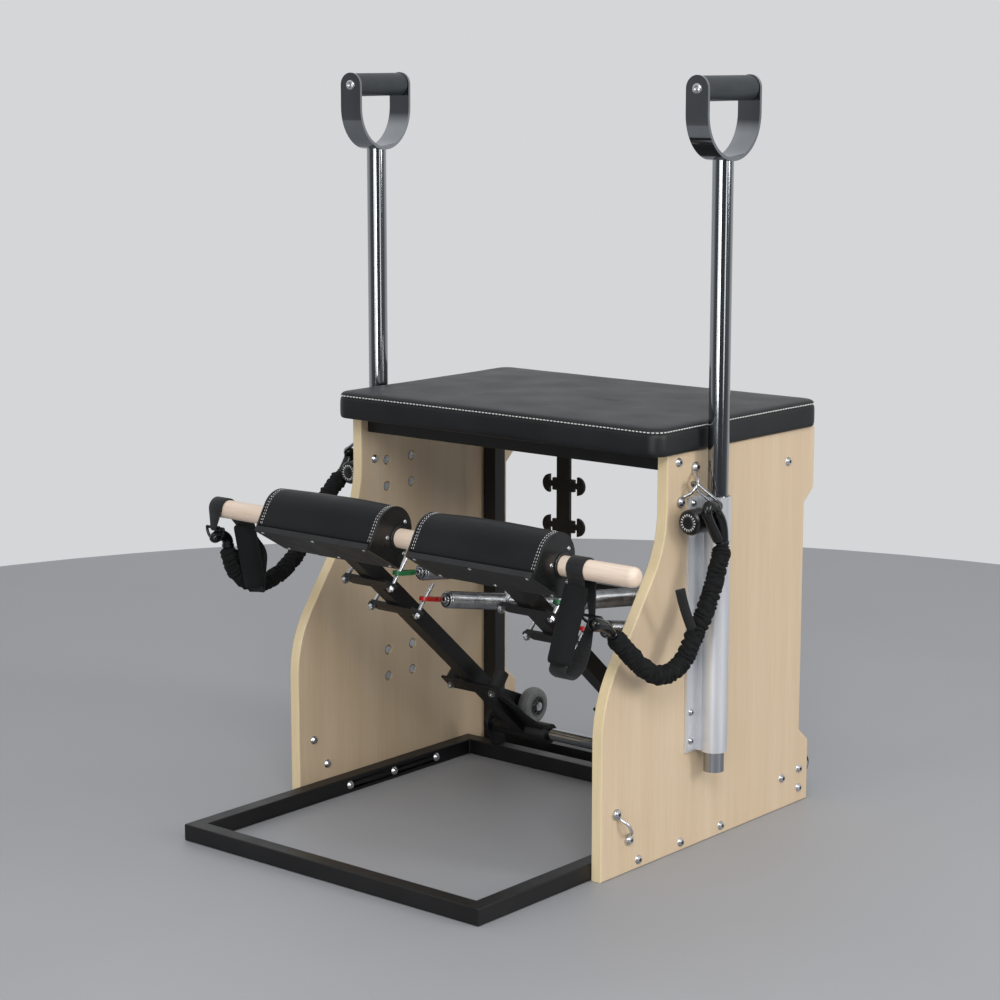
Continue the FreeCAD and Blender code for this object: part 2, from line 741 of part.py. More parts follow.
def seat_cushion():
    bottom = PANEL_HEIGHT + SEAT_BOARD_THICKNESS
    top = bottom + SEAT_FOAM_HEIGHT
    shoulder = top - SEAT_EDGE_DROP
    heights = (bottom, shoulder, shoulder + 0.6 * SEAT_EDGE_DROP, top - 0.12 * SEAT_EDGE_DROP, top)
    sections = [seat_section(z, inset, SEAT_DRAW_IN) for z, inset in zip(heights, SEAT_CROWN_INSETS)]
    return Part.makeLoft(sections, True, True)


# Fasteners and anchors on the panels

def button_bolt(side, x_inner, x_outer, y, z, radius):
    """Bolt along X with a low button head at both ends."""
    shank = rod_x(side, x_inner, x_outer, y, z, radius)
    shapes = [shank]
    for x, way in ((x_outer, 1), (x_inner, -1)):
        head = Part.makeCone(BOLT_HEAD_RADIUS, 0.55 * BOLT_HEAD_RADIUS, BOLT_HEAD_HEIGHT,
                             Vector(side * x, y, z), X_AXIS * (side * way))
        shapes.append(head)
    return join(shapes)


def frame_bolts():
    bolts = []
    anchor_places = ANCHOR_UPPER + ANCHOR_LOWER
    for side in (-1, 1):
        for y, z, inner in frame_bolt_places():
            outer = PANEL_FACE
            if (y, z) in anchor_places:
                outer += ANCHOR_EYE_THICKNESS
            bolts.append(button_bolt(side, inner, outer, y, z, BOLT_RADIUS))
        y, z, inner = seat_rail_bolt()
        head = Part.makeCone(BOLT_HEAD_RADIUS, 0.55 * BOLT_HEAD_RADIUS, BOLT_HEAD_HEIGHT,
                             Vector(side * PANEL_FACE, y, z), X_AXIS * side)
        bolts.append(join([rod_x(side, inner, PANEL_FACE, y, z, BOLT_RADIUS), head]))
        bolts.append(wheel_axle(side))
    return Part.Compound(bolts)


def sleeve_bolts():
    bolts = []
    face = PANEL_FACE + SLEEVE_FLANGE_THICKNESS
    nut_face = HALF_GAP + SLEEVE_NUT_POCKET
    for side in (-1, 1):
        for y, z in sleeve_bolt_places():
            shank = rod_x(side, nut_face - SLEEVE_NUT_HEIGHT, face, y, z, SLEEVE_BOLT_RADIUS)
            nut = rod_x(side, nut_face - SLEEVE_NUT_HEIGHT, nut_face, y, z, SLEEVE_NUT_RADIUS)
            head = Part.makeCone(0.8 * BOLT_HEAD_RADIUS, 0.45 * BOLT_HEAD_RADIUS, 0.8 * BOLT_HEAD_HEIGHT,
                                 Vector(side * face, y, z), X_AXIS * side)
            bolts.append(join([shank, nut, head]))
    return Part.Compound(bolts)


def anchor_loop(side, places):
    """Wire staple between two bolts: a flat eye under each bolt head, joined by a raised bow."""
    feet = [Vector(side * PANEL_FACE, y, z) for y, z in places]
    along = (feet[1] - feet[0]).normalize()
    out = X_AXIS * side
    shapes = []
    hole = BOLT_RADIUS + BOLT_CLEARANCE
    for foot in feet:
        eye = rod(foot, foot + out * ANCHOR_EYE_THICKNESS, ANCHOR_EYE_RADIUS)
        shapes.append(eye)
    inset = ANCHOR_EYE_RADIUS + ANCHOR_WIRE_RADIUS
    base = ANCHOR_EYE_THICKNESS / 2
    first = feet[0] + along * (ANCHOR_EYE_RADIUS - ANCHOR_WIRE_RADIUS) + out * base
    last = feet[1] - along * (ANCHOR_EYE_RADIUS - ANCHOR_WIRE_RADIUS) + out * base
    route = [
        first,
        feet[0] + along * inset + out * (base + ANCHOR_WIRE_RADIUS),
        feet[0] + along * (inset + ANCHOR_STANDOFF / 2) + out * ANCHOR_STANDOFF,
        feet[1] - along * (inset + ANCHOR_STANDOFF / 2) + out * ANCHOR_STANDOFF,
        feet[1] - along * inset + out * (base + ANCHOR_WIRE_RADIUS),
        last,
    ]
    wire = rounded_route(route)[0]
    shapes.append(swept(wire, route[0], route[1] - route[0], ANCHOR_WIRE_RADIUS))
    loop = join(shapes)
    below = [rod(f - out * ANCHOR_EYE_RADIUS, f, 3 * ANCHOR_EYE_RADIUS) for f in feet]
    holes = [rod(f, f + out * ANCHOR_STANDOFF, hole) for f in feet]
    heads = [rod(f + out * ANCHOR_EYE_THICKNESS, f + out * ANCHOR_STANDOFF, BOLT_HEAD_RADIUS + SEAT_GAP)
             for f in feet]
    return loop.cut(below + holes + heads)


def anchor_middle(side):
    """Middle of the raised wire of the upper anchor loop and the direction it runs in."""
    feet = [Vector(side * PANEL_FACE, y, z) for y, z in ANCHOR_UPPER]
    middle = (feet[0] + feet[1]) * 0.5 + X_AXIS * (side * ANCHOR_STANDOFF)
    return middle, (feet[1] - feet[0]).normalize()


# Pole sleeves, poles and knobs

def pole_sleeve(side):
    x = side * POLE_X
    height = SLEEVE_TOP_Z - SLEEVE_BOTTOM_Z
    base = Vector(x, POLE_Y, SLEEVE_BOTTOM_Z)
    tube = Part.makeCylinder(SLEEVE_RADIUS, height, base)
    half_flange = SLEEVE_FLANGE_WIDTH / 2
    half_web = SLEEVE_WEB_WIDTH / 2
    flange = side_box(side, PANEL_FACE, PANEL_FACE + SLEEVE_FLANGE_THICKNESS,
                      POLE_Y - half_flange, POLE_Y + half_flange, SLEEVE_BOTTOM_Z, SLEEVE_TOP_Z)
    web = side_box(side, PANEL_FACE, POLE_X, POLE_Y - half_web, POLE_Y + half_web,
                   SLEEVE_BOTTOM_Z, SLEEVE_TOP_Z)
    boss = rod(Vector(x, BOSS_FACE_Y, KNOB_Z), Vector(x, POLE_Y, KNOB_Z), SLEEVE_BOSS_RADIUS)
    bore = Part.makeCylinder(SLEEVE_BORE, height, base)
    screw_hole = rod(Vector(x, BOSS_FACE_Y, KNOB_Z), Vector(x, POLE_Y, KNOB_Z),
                     KNOB_SCREW_RADIUS + KNOB_SCREW_CLEARANCE)
    holes = [rod_x(side, PANEL_FACE, PANEL_FACE + SLEEVE_FLANGE_THICKNESS, y, z,
                   SLEEVE_BOLT_RADIUS + BOLT_CLEARANCE) for y, z in sleeve_bolt_places()]
    head_room = [rod_x(side, PANEL_FACE + SLEEVE_FLANGE_THICKNESS, POLE_X, y, z,
                       0.8 * BOLT_HEAD_RADIUS + SEAT_GAP) for y, z in sleeve_bolt_places()]
    return join([tube, flange, web, boss]).cut([bore, screw_hole] + holes + head_room)


def pole_liner(side):
    x = side * POLE_X
    inner = POLE_RADIUS + LINER_CLEARANCE
    below_screw = KNOB_Z - 2 * SLEEVE_BOSS_RADIUS
    rings = []
    for low, high in ((SLEEVE_BOTTOM_Z, below_screw), (SLEEVE_TOP_Z - LINER_TOP_LENGTH, SLEEVE_TOP_Z)):
        outer = Part.makeCylinder(LINER_RADIUS, high - low, Vector(x, POLE_Y, low))
        rings.append(outer.cut(Part.makeCylinder(inner, high - low, Vector(x, POLE_Y, low))))
    return Part.Compound(rings)


def handle_bow():
    """U-shaped flat band about the pole's axis, its arms rounded at the grip's height."""
    outer = BOW_RADIUS + BOW_THICKNESS / 2
    inner = BOW_RADIUS - BOW_THICKNESS / 2
    half = BOW_WIDTH / 2
    top = GRIP_Z + half
    walls = []
    for radius in (outer, inner):
        edges = [
            line(Vector(-half, -radius, top), Vector(-half, -radius, BOW_CENTRE_Z)),
            arc(Vector(-half, -radius, BOW_CENTRE_Z), Vector(-half, 0, BOW_CENTRE_Z - radius),
                Vector(-half, radius, BOW_CENTRE_Z)),
            line(Vector(-half, radius, BOW_CENTRE_Z), Vector(-half, radius, top)),
            line(Vector(-half, radius, top), Vector(-half, -radius, top)),
        ]
        walls.append(prism(wire_of(edges), X_AXIS * BOW_WIDTH))
    band = walls[0].cut(walls[1])
    low = BOW_CENTRE_Z - 2 * outer
    shield = wire_of([
        line(Vector(-half, -outer, low), Vector(half, -outer, low)),
        line(Vector(half, -outer, low), Vector(half, -outer, GRIP_Z)),
        arc(Vector(half, -outer, GRIP_Z), Vector(0, -outer, top), Vector(-half, -outer, GRIP_Z)),
        line(Vector(-half, -outer, GRIP_Z), Vector(-half, -outer, low)),
    ])
    return band.common(prism(shield, Y_AXIS * (2 * outer)))


def turned_about_pole(shape, side, turn):
    shape.rotate(Vector(0, 0, 0), Z_AXIS, turn)
    shape.translate(Vector(side * POLE_X, POLE_Y, 0))
    return shape


def pole(side, turn):
    height = POLE_TOP_Z + BOW_THICKNESS / 2 - POLE_BOTTOM_Z
    base = Vector(0, 0, POLE_BOTTOM_Z)
    tube = Part.makeCylinder(POLE_RADIUS, height, base)
    under_bow = Part.makeCylinder(BOW_RADIUS, BOW_WIDTH * 2, Vector(-BOW_WIDTH, 0, BOW_CENTRE_Z), X_AXIS)
    shape = join([tube.cut(under_bow), handle_bow()])
    bore = Part.makeCylinder(POLE_RADIUS - POLE_WALL, POLE_TOP_Z - POLE_WALL - POLE_BOTTOM_Z, base)
    return turned_about_pole(shape.cut(bore), side, turn)


def handle_grip(side, turn):
    reach = BOW_RADIUS - BOW_THICKNESS / 2
    grip = rod(Vector(0, -reach, GRIP_Z), Vector(0, reach, GRIP_Z), GRIP_RADIUS)
    grip = grip.makeChamfer(GRIP_END_ROUND / 2, [e for e in grip.Edges if e.BoundBox.YLength < 1e-6])
    return turned_about_pole(grip, side, turn)


def clamp_knob(side):
    centre = Vector(side * POLE_X, 0, KNOB_Z)
    collar_y = BOSS_FACE_Y - SEAT_GAP
    knob_back = collar_y - KNOB_COLLAR_LENGTH
    knob_front = knob_back - KNOB_LENGTH
    tip = POLE_Y - POLE_RADIUS - SEAT_GAP
    e = KNOB_EDGE_ROUND
    outline = [
        (0, knob_front),
        (KNOB_RADIUS - e, knob_front),
        (KNOB_RADIUS, knob_front + e),
        (KNOB_RADIUS, knob_back - e),
        (KNOB_RADIUS - e, knob_back),
        (KNOB_COLLAR_RADIUS, knob_back),
        (KNOB_COLLAR_RADIUS, collar_y),
        (KNOB_SCREW_RADIUS, collar_y),
        (KNOB_SCREW_RADIUS, tip),
        (0, tip),
    ]
    return revolve(outline, centre, Y_AXIS)


# Transport wheels

def wheel_centre(side):
    inner = HALF_GAP - WHEEL_BRACKET_THICKNESS - WHEEL_SPACER - WHEEL_WIDTH / 2
    return Vector(side * inner, WHEEL_Y, WHEEL_Z)


def wheel_tyre(side):
    half = WHEEL_WIDTH / 2
    c = TYRE_ROUND
    d = c * (1 - math.cos(math.pi / 4))
    outline = [
        (TYRE_INNER_RADIUS, -half),
        (WHEEL_RADIUS - c, -half),
        (WHEEL_RADIUS - d, -half + d),
        (WHEEL_RADIUS, -half + c),
        (WHEEL_RADIUS, half - c),
        (WHEEL_RADIUS - d, half - d),
        (WHEEL_RADIUS - c, half),
        (TYRE_INNER_RADIUS, half),
    ]
    return revolve(outline, wheel_centre(side), X_AXIS)


def wheel_hub(side):
    centre = wheel_centre(side)
    half = WHEEL_WIDTH / 2 - WHEEL_SIDE_GAP
    ends = (centre - X_AXIS * half, centre + X_AXIS * half)
    rim = rod(ends[0], ends[1], TYRE_INNER_RADIUS).cut(rod(ends[0], ends[1], TYRE_INNER_RADIUS - HUB_RIM))
    boss = rod(ends[0], ends[1], WHEEL_HUB_RADIUS)
    shapes = [rim, boss]
    reach = TYRE_INNER_RADIUS - HUB_RIM / 2
    for i in range(WHEEL_SPOKES):
        spoke = box(-half / 2, half / 2, -WHEEL_SPOKE_WIDTH / 2, WHEEL_SPOKE_WIDTH / 2, 0, reach)
        spoke.rotate(Vector(0, 0, 0), X_AXIS, i * 360 / WHEEL_SPOKES)
        spoke.translate(centre)
        shapes.append(spoke)
    bore = rod(ends[0], ends[1], AXLE_RADIUS + AXLE_CLEARANCE)
    return join(shapes).cut(bore)


def wheel_axle(side):
    """Axle bolt with a head inside the wheel, a spacer and a nut outside the bracket."""
    centre = wheel_centre(side)
    inner = abs(centre.x) - WHEEL_WIDTH / 2
    spacer = abs(centre.x) + WHEEL_WIDTH / 2
    bracket = HALF_GAP - WHEEL_BRACKET_THICKNESS
    y, z = centre.y, centre.z
    return join([
        rod_x(side, inner, HALF_GAP, y, z, AXLE_RADIUS),
        rod_x(side, inner - BOLT_HEAD_HEIGHT, inner, y, z, BOLT_HEAD_RADIUS),
        rod_x(side, spacer, bracket, y, z, BOLT_HEAD_RADIUS),
        rod_x(side, HALF_GAP, HALF_GAP + BOLT_HEAD_HEIGHT, y, z, BOLT_HEAD_RADIUS),
    ])


def wheel_brackets():
    plates = []
    for side in (-1, 1):
        inner = HALF_GAP - WHEEL_BRACKET_THICKNESS
        x_low = min(side * inner, side * HALF_GAP)
        r = WHEEL_BRACKET_RADIUS
        outline = wire_of([
            line(Vector(x_low, REAR_BACK_Y, WHEEL_Z - r), Vector(x_low, WHEEL_Y, WHEEL_Z - r)),
            arc(Vector(x_low, WHEEL_Y, WHEEL_Z - r), Vector(x_low, WHEEL_Y + r, WHEEL_Z),
                Vector(x_low, WHEEL_Y, WHEEL_Z + r)),
            line(Vector(x_low, WHEEL_Y, WHEEL_Z + r), Vector(x_low, REAR_BACK_Y, 2 * WHEEL_Z)),
            line(Vector(x_low, REAR_BACK_Y, 2 * WHEEL_Z), Vector(x_low, REAR_BACK_Y, WHEEL_Z - r)),
        ])
        plate = prism(outline, X_AXIS * WHEEL_BRACKET_THICKNESS)
        foot_y = [y for y, z in WHEEL_BRACKET_BOLTS]
        tab_z = min(z for y, z in WHEEL_BRACKET_BOLTS) - 2 * BOLT_RADIUS
        tab = side_box(side, inner, HALF_GAP, min(foot_y) - 3 * BOLT_RADIUS, max(foot_y) + 3 * BOLT_RADIUS,
                       tab_z, WHEEL_Z)
        holes = [rod_x(side, inner, HALF_GAP, y, z, BOLT_RADIUS + BOLT_CLEARANCE)
                 for y, z in WHEEL_BRACKET_BOLTS]
        axle_hole = rod_x(side, inner, HALF_GAP, WHEEL_Y, WHEEL_Z, AXLE_RADIUS + BOLT_CLEARANCE)
        plates.append(join([plate, tab]).cut(holes + [axle_hole]))
    return Part.Compound(plates)


# Pedal pivot

def pivot_shaft():
    low, high = BRACKET_FACES_X
    return rod_x(1, low - SHAFT_END, high + SHAFT_END, PIVOT_Y, PIVOT_Z, SHAFT_RADIUS)


def shaft_brackets():
    """Upright plates on the rear base bar that hold the shaft beside the hubs."""
    plates = []
    for side, face in zip((-1, 1), BRACKET_FACES_X):
        far = side * face
        near = far - BRACKET_THICKNESS
        x_low = min(side * near, side * far)
        r = BRACKET_RADIUS
        points = [
            Vector(x_low, PIVOT_Y - r, PIVOT_Z),
            Vector(x_low, BASE_BACK_Y - TUBE, TUBE),
            Vector(x_low, BASE_BACK_Y, TUBE),
            Vector(x_low, PIVOT_Y + r, PIVOT_Z),
        ]
        plate = polygon_prism(points, X_AXIS * BRACKET_THICKNESS)
        eye = rod_x(side, near, far, PIVOT_Y, PIVOT_Z, r)
        bore = rod_x(side, near, far, PIVOT_Y, PIVOT_Z, SHAFT_RADIUS + SHAFT_CLEARANCE)
        plates.append(join([plate, eye]).cut(bore))
    return Part.Compound(plates)


# Pedals

def pointed_plate(distance, half_span, shoulder, half_width):
    """Flat strip across the arm's underside with pointed ends."""
    low = -TUBE / 2 - LUG_THICKNESS
    outline = [(-half_span, 0), (-shoulder, -half_width), (shoulder, -half_width),
               (half_span, 0), (shoulder, half_width), (-shoulder, half_width)]
    points = [Vector(x, -distance + dy, low) for x, dy in outline]
    return polygon_prism(points, Z_AXIS * LUG_THICKNESS)


def stud_places():
    return [(side * STUD_OFFSET, distance) for distance in LUG_DISTANCES for side in (-1, 1)]


def bumper_places():
    return [(side * BUMPER_OFFSET, BUMPER_DISTANCE) for side in (-1, 1)]


def pedal_arm(arm_x):
    half = TUBE / 2
    reach = (DOWEL - PIVOT).Length
    beam = hollow_bar(box(-half, half, -reach, 0, -half, half), 1)
    pad_side = box(-reach, reach, -reach, PAD_BACK + ARM_PLATE_THICKNESS, -reach, reach)
    beam = on_arm(beam, arm_x).cut(on_pad(pad_side))
    lugs = [pointed_plate(d, LUG_HALF_SPAN, LUG_SHOULDER, LUG_HALF_WIDTH) for d in LUG_DISTANCES]
    bumper_plate = box(-BUMPER_PLATE_HALF_SPAN, BUMPER_PLATE_HALF_SPAN,
                       -BUMPER_DISTANCE - BUMPER_PLATE_HALF_WIDTH, -BUMPER_DISTANCE + BUMPER_PLATE_HALF_WIDTH,
                       -half - LUG_THICKNESS, -half)
    hub = rod_x(1, -HUB_LENGTH / 2, HUB_LENGTH / 2, 0, 0, HUB_RADIUS)
    web_points = [Vector(-HUB_LENGTH / 2, 0, -HUB_WEB_THICKNESS / 2),
                  Vector(HUB_LENGTH / 2, 0, -HUB_WEB_THICKNESS / 2),
                  Vector(half, -HUB_WEB_LENGTH, -HUB_WEB_THICKNESS / 2),
                  Vector(-half, -HUB_WEB_LENGTH, -HUB_WEB_THICKNESS / 2)]
    web = polygon_prism(web_points, Z_AXIS * HUB_WEB_THICKNESS)
    hollow = box(-half + TUBE_WALL, half - TUBE_WALL, -reach, -HUB_RADIUS, -half + TUBE_WALL, half - TUBE_WALL)
    web = web.cut(hollow)
    placed = [on_arm(shape, arm_x) for shape in lugs + [bumper_plate, hub, web]]
    pad_plate = on_pad(box(arm_x - ARM_PLATE_WIDTH / 2, arm_x + ARM_PLATE_WIDTH / 2,
                           PAD_BACK, PAD_BACK + ARM_PLATE_THICKNESS,
                           PAD_SIDE_TOP - ARM_PLATE_HEIGHT, PAD_SIDE_TOP))
    arm = join([beam, pad_plate] + placed)
    low = -half - LUG_THICKNESS
    cutters = [rod_x(1, -HUB_LENGTH / 2, HUB_LENGTH / 2, 0, 0, SHAFT_RADIUS + SHAFT_CLEARANCE)]
    for x, distance in stud_places() + bumper_places():
        cutters.append(rod(Vector(x, -distance, low), Vector(x, -distance, -half),
                           STUD_RADIUS + STUD_CLEARANCE))
    return arm.cut([on_arm(c, arm_x) for c in cutters])


def stud(x, distance, top):
    """Stud through a lug, with a nut under the lug."""
    under = -TUBE / 2 - LUG_THICKNESS
    low = under - NUT_HEIGHT
    shank = rod(Vector(x, -distance, low - STUD_TIP), Vector(x, -distance, top), STUD_RADIUS)
    angles = [i * math.pi / 3 for i in range(6)]
    corners = [Vector(x + NUT_RADIUS * math.cos(a), -distance + NUT_RADIUS * math.sin(a), low) for a in angles]
    nut = polygon_prism(corners, Z_AXIS * NUT_HEIGHT)
    return join([shank, nut])


def pedal_studs(arm_x):
    studs = [stud(x, d, STUD_TOP) for x, d in stud_places()]
    studs += [stud(x, d, -TUBE / 2 + BUMPER_STUD_DEPTH) for x, d in bumper_places()]
    return Part.Compound([on_arm(s, arm_x) for s in studs])


def pedal_bumpers(arm_x):
    low = -TUBE / 2
    bumpers = []
    for x, d in bumper_places():
        body = Part.makeCone(BUMPER_RADIUS, 0.85 * BUMPER_RADIUS, BUMPER_HEIGHT, Vector(x, -d, low))
        socket = rod(Vector(x, -d, low), Vector(x, -d, low + BUMPER_STUD_DEPTH + SEAT_GAP),
                     STUD_RADIUS + STUD_CLEARANCE)
        bumpers.append(on_arm(body.cut(socket), arm_x))
    return Part.Compound(bumpers)


def pad_section(x, bottom, shrink):
    """Tombstone-shaped section of a pedal pad in its own frame."""
    front = PAD_BACK - PAD_WIDTH
    centre = (PAD_BACK + front) / 2
    radius = PAD_WIDTH / 2 - shrink
    low, high = centre - radius, centre + radius
    slant = radius * math.sqrt(0.5)

    def at(u, v):
        return Vector(x, u, v)

    crest = at(centre, PAD_SIDE_TOP + radius)
    return wire_of([
        line(at(low, bottom), at(high, bottom)),
        line(at(high, bottom), at(high, PAD_SIDE_TOP)),
        arc(at(high, PAD_SIDE_TOP), at(centre + slant, PAD_SIDE_TOP + slant), crest),
        arc(crest, at(centre - slant, PAD_SIDE_TOP + slant), at(low, PAD_SIDE_TOP)),
        line(at(low, PAD_SIDE_TOP), at(low, bottom)),
    ])


def pad_ends(index):
    centre = PAD_CENTRES_X[index]
    return centre - PAD_LENGTH / 2, centre + PAD_LENGTH / 2


def dowel_tunnel(clearance):
    reach = DOWEL_LENGTH
    return rod(Vector(-reach, 0, 0), Vector(reach, 0, 0), DOWEL_RADIUS + clearance)


def pedal_board(index):
    low, high = pad_ends(index)
    t = PAD_PLATE_THICKNESS
    return on_pad(box(low + t, high - t, PAD_BACK - PAD_WIDTH, PAD_BACK,
                      PAD_BOTTOM, PAD_BOTTOM + PAD_BOARD_THICKNESS))


def pedal_pad(index):
    low, high = pad_ends(index)
    t = PAD_PLATE_THICKNESS
    bottom = PAD_BOTTOM + PAD_BOARD_THICKNESS
    sections = [pad_section(low + t, bottom, PAD_CROWN), pad_section((low + high) / 2, bottom, 0.0),
                pad_section(high - t, bottom, PAD_CROWN)]
    pad = Part.makeLoft(sections, True, False)
    back = box(low, high, PAD_BACK, PAD_BACK + PAD_WIDTH, -PAD_WIDTH, PAD_WIDTH)
    return on_pad(pad.cut([dowel_tunnel(SEAT_GAP), back]))


def pad_end_plates(index):
    low, high = pad_ends(index)
    t = PAD_PLATE_THICKNESS
    plates = []
    for x in (low, high - t):
        plate = prism(pad_section(x, PAD_BOTTOM, PAD_CROWN), X_AXIS * t)
        plates.append(on_pad(plate.cut(dowel_tunnel(DOWEL_CLEARANCE))))
    return Part.Compound(plates)


def dowel():
    half = DOWEL_LENGTH / 2
    centre = Vector(DOWEL_CENTRE_X, DOWEL_Y, DOWEL_Z)
    bar = rod(centre - X_AXIS * half, centre + X_AXIS * half, DOWEL_RADIUS)
    return bar.makeFillet(DOWEL_END_ROUND, [e for e in bar.Edges if e.BoundBox.XLength < 1e-6])


# Springs between the pedals and the trees

def spring_ends(index, row):
    """Stud point, tree lug point and the hook's radius for one spring of a pedal."""
    arm_x = ARM_X[index]
    start = arm_point(arm_x + STUD_OFFSET, LUG_DISTANCES[row], SPRING_LUG_HEIGHTS[row])
    lug_x = TREE_X[index] + TREE_WIDTH / 2 + TREE_ARM_LENGTH + TREE_NECK_LENGTH / 2
    lug = Vector(lug_x, REAR_FRONT_Y - TREE_THICKNESS / 2, TREE_ROWS_Z[3 - row])
    return start, lug


def spring_axis(index, row):
    """Unit axis of a spring, its first point behind the loop and its last point above the tree lug."""
    stud_point, lug = spring_ends(index, row)
    hook = math.hypot(TREE_NECK_HEIGHT / 2, TREE_THICKNESS / 2) + SPRING_WIRE_RADIUS + SEAT_GAP
    end = lug + Z_AXIS * hook
    for _ in range(4):
        axis = (end - stud_point).normalize()
        up = axis.cross(X_AXIS).normalize() * -1
        up = up if up.z > 0 else up * -1
        end = lug + up * hook
    first = stud_point + axis * (LOOP_LENGTH - LOOP_BAND + LOOP_STEM_LENGTH - STUD_RADIUS)
    return axis, up, first, end, lug, hook


def coil_spring(name, index, row):
    axis, up, first, end, lug, hook = spring_axis(index, row)
    length = (end - first).Length
    edges = coil_edges(length)
    print(name, "least self gap %.2f" % least_self_gap(edges))
    turn = FreeCAD.Rotation(Z_AXIS, axis)
    placement = FreeCAD.Placement(first, turn)
    placed = [e.transformed(placement.toMatrix()) for e in edges]
    placed.append(arc(end, lug + axis * hook, lug - up * hook))
    return swept(Part.Wire(placed), first, axis, SPRING_WIRE_RADIUS)


def spring_loop(index, row):
    """Oval plastic loop over a stud, with a stem that meets the spring's end."""
    axis, up, first, end, lug, hook = spring_axis(index, row)
    stud_point = spring_ends(index, row)[0]
    stem_start = first - axis * LOOP_STEM_LENGTH
    inner = LOOP_WIDTH / 2 - LOOP_BAND
    start = stud_point - axis * (STUD_RADIUS + SEAT_GAP) + axis * inner
    far = stem_start - axis * (LOOP_WIDTH / 2)
    ring = stadium_ring(start, far, X_AXIS, LOOP_WIDTH, LOOP_BAND, LOOP_THICKNESS)
    stem = rod(stem_start - axis * (LOOP_BAND / 2), first, LOOP_STEM_RADIUS)
    arm = math.radians(ARM_ANGLE)
    stud_way = Vector(0, math.sin(arm), math.cos(arm))
    stud_room = rod(stud_point - stud_way * LOOP_LENGTH, stud_point + stud_way * LOOP_LENGTH,
                    STUD_RADIUS + SEAT_GAP)
    return join([ring, stem]).cut(stud_room)


# Strap handles and elastic cords

def strap_run(start, end):
    """Flat length of webbing from start to end, its width along X."""
    along = end - start
    way = Vector(0, along.y, along.z).normalize()
    normal = X_AXIS.cross(way).normalize() * (STRAP_THICKNESS / 2)
    half = X_AXIS * (STRAP_WIDTH / 2)
    sections = []
    for point in (start - way * (STRAP_THICKNESS / 2), end + way * (STRAP_THICKNESS / 2)):
        corners = [point - half - normal, point + half - normal, point + half + normal, point - half + normal]
        sections.append(Part.makePolygon(corners + [corners[0]]))
    return Part.makeLoft(sections, True, True)


def strap_over_dowel(strap_x):
    """Half turn of webbing over the dowel and its two hanging points, front and back."""
    inner = DOWEL_RADIUS + STRAP_GAP
    outer = inner + STRAP_THICKNESS
    centre = Vector(strap_x, DOWEL_Y, DOWEL_Z)
    half = X_AXIS * (STRAP_WIDTH / 2)
    turn = rod(centre - half, centre + half, outer).cut(rod(centre - half, centre + half, inner))
    top = box(centre.x - STRAP_WIDTH / 2, centre.x + STRAP_WIDTH / 2, centre.y - outer, centre.y + outer,
              centre.z, centre.z + outer)
    reach = Y_AXIS * ((inner + outer) / 2)
    return turn.common(top), centre - reach, centre + reach


def webbing(turn, strap_x, grip, paths, extra):
    """Strap of straight runs along each path, cleared of the dowel and of the grip on it."""
    runs = []
    for path in paths:
        runs += [strap_run(a, b) for a, b in zip(path, path[1:])]
    centre = Vector(strap_x, DOWEL_Y, DOWEL_Z)
    half = X_AXIS * STRAP_WIDTH
    clear = [rod(grip[0], grip[1], GRIP_FOAM_RADIUS),
             rod(centre - half, centre + half, DOWEL_RADIUS + STRAP_GAP)]
    return join([turn] + runs + extra).cut(clear)


def grip_tail(grip):
    return grip[1] + (grip[1] - grip[0]).normalize() * STRAP_TAIL


def right_strap():
    """Loop over the dowel: the grip in front, the ring in the rear corner."""
    turn, front, back = strap_over_dowel(RIGHT_STRAP_X)
    paths = [[front, RIGHT_GRIP[0]], [RIGHT_GRIP[1], grip_tail(RIGHT_GRIP), RIGHT_RING_CORNER, back]]
    return webbing(turn, RIGHT_STRAP_X, RIGHT_GRIP, paths, [])


def left_strap():
    """Loop with the grip behind the dowel, and a tab over the dowel that ends in the ring's eye."""
    turn, front, back = strap_over_dowel(LEFT_STRAP_X)
    paths = [[back, LEFT_GRIP[0]], [LEFT_GRIP[1], grip_tail(LEFT_GRIP), LEFT_STRAP_SLACK, back],
             [front, LEFT_RING_EYE]]
    half = X_AXIS * (STRAP_WIDTH / 2)
    inner = RING_WIRE_RADIUS + STRAP_GAP
    eye_ends = (LEFT_RING_EYE - half, LEFT_RING_EYE + half)
    eye = rod(eye_ends[0], eye_ends[1], inner + STRAP_THICKNESS)
    strap = webbing(turn, LEFT_STRAP_X, LEFT_GRIP, paths, [eye])
    return strap.cut(rod(eye_ends[0], eye_ends[1], inner))


def foam_grip(grip):
    return rod(grip[0], grip[1], GRIP_FOAM_RADIUS)


def cord_end(route, end, before):
    """Place of a cord's end and the direction in which it leaves the cord."""
    place = Vector(*route[end])
    return place, (place - Vector(*route[before])).normalize()


def hook(end, leave, target, across):
    """Snap hook on a cord's end: a ferrule in line with the cord, then an oval ring out to the target."""
    ferrule_end = end + leave * FERRULE_LENGTH
    way = (target - ferrule_end).normalize()
    radius = HOOK_WIDTH / 2
    start = ferrule_end + way * (radius - HOOK_WIRE / 2)
    far = target - way * radius
    ring = stadium_ring(start, far, across, HOOK_WIDTH, HOOK_WIRE, HOOK_WIRE)
    return join([rod(end, ferrule_end, FERRULE_RADIUS), ring])


def link_frame(side, joint):
    """Anchor point of an upper link, its direction and the direction across it."""
    middle, wire_way = anchor_middle(side)
    way = (joint - middle).normalize()
    return middle, way, way.cross(wire_way).normalize()


def upper_link(side, joint):
    middle, way, across = link_frame(side, joint)
    inner = LINK_WIDTH / 2 - LINK_WIRE
    start = middle - way * (ANCHOR_WIRE_RADIUS + ANCHOR_GAP) + way * inner
    far = joint - way * inner
    return stadium_ring(start, far, across, LINK_WIDTH, LINK_WIRE, LINK_WIRE)


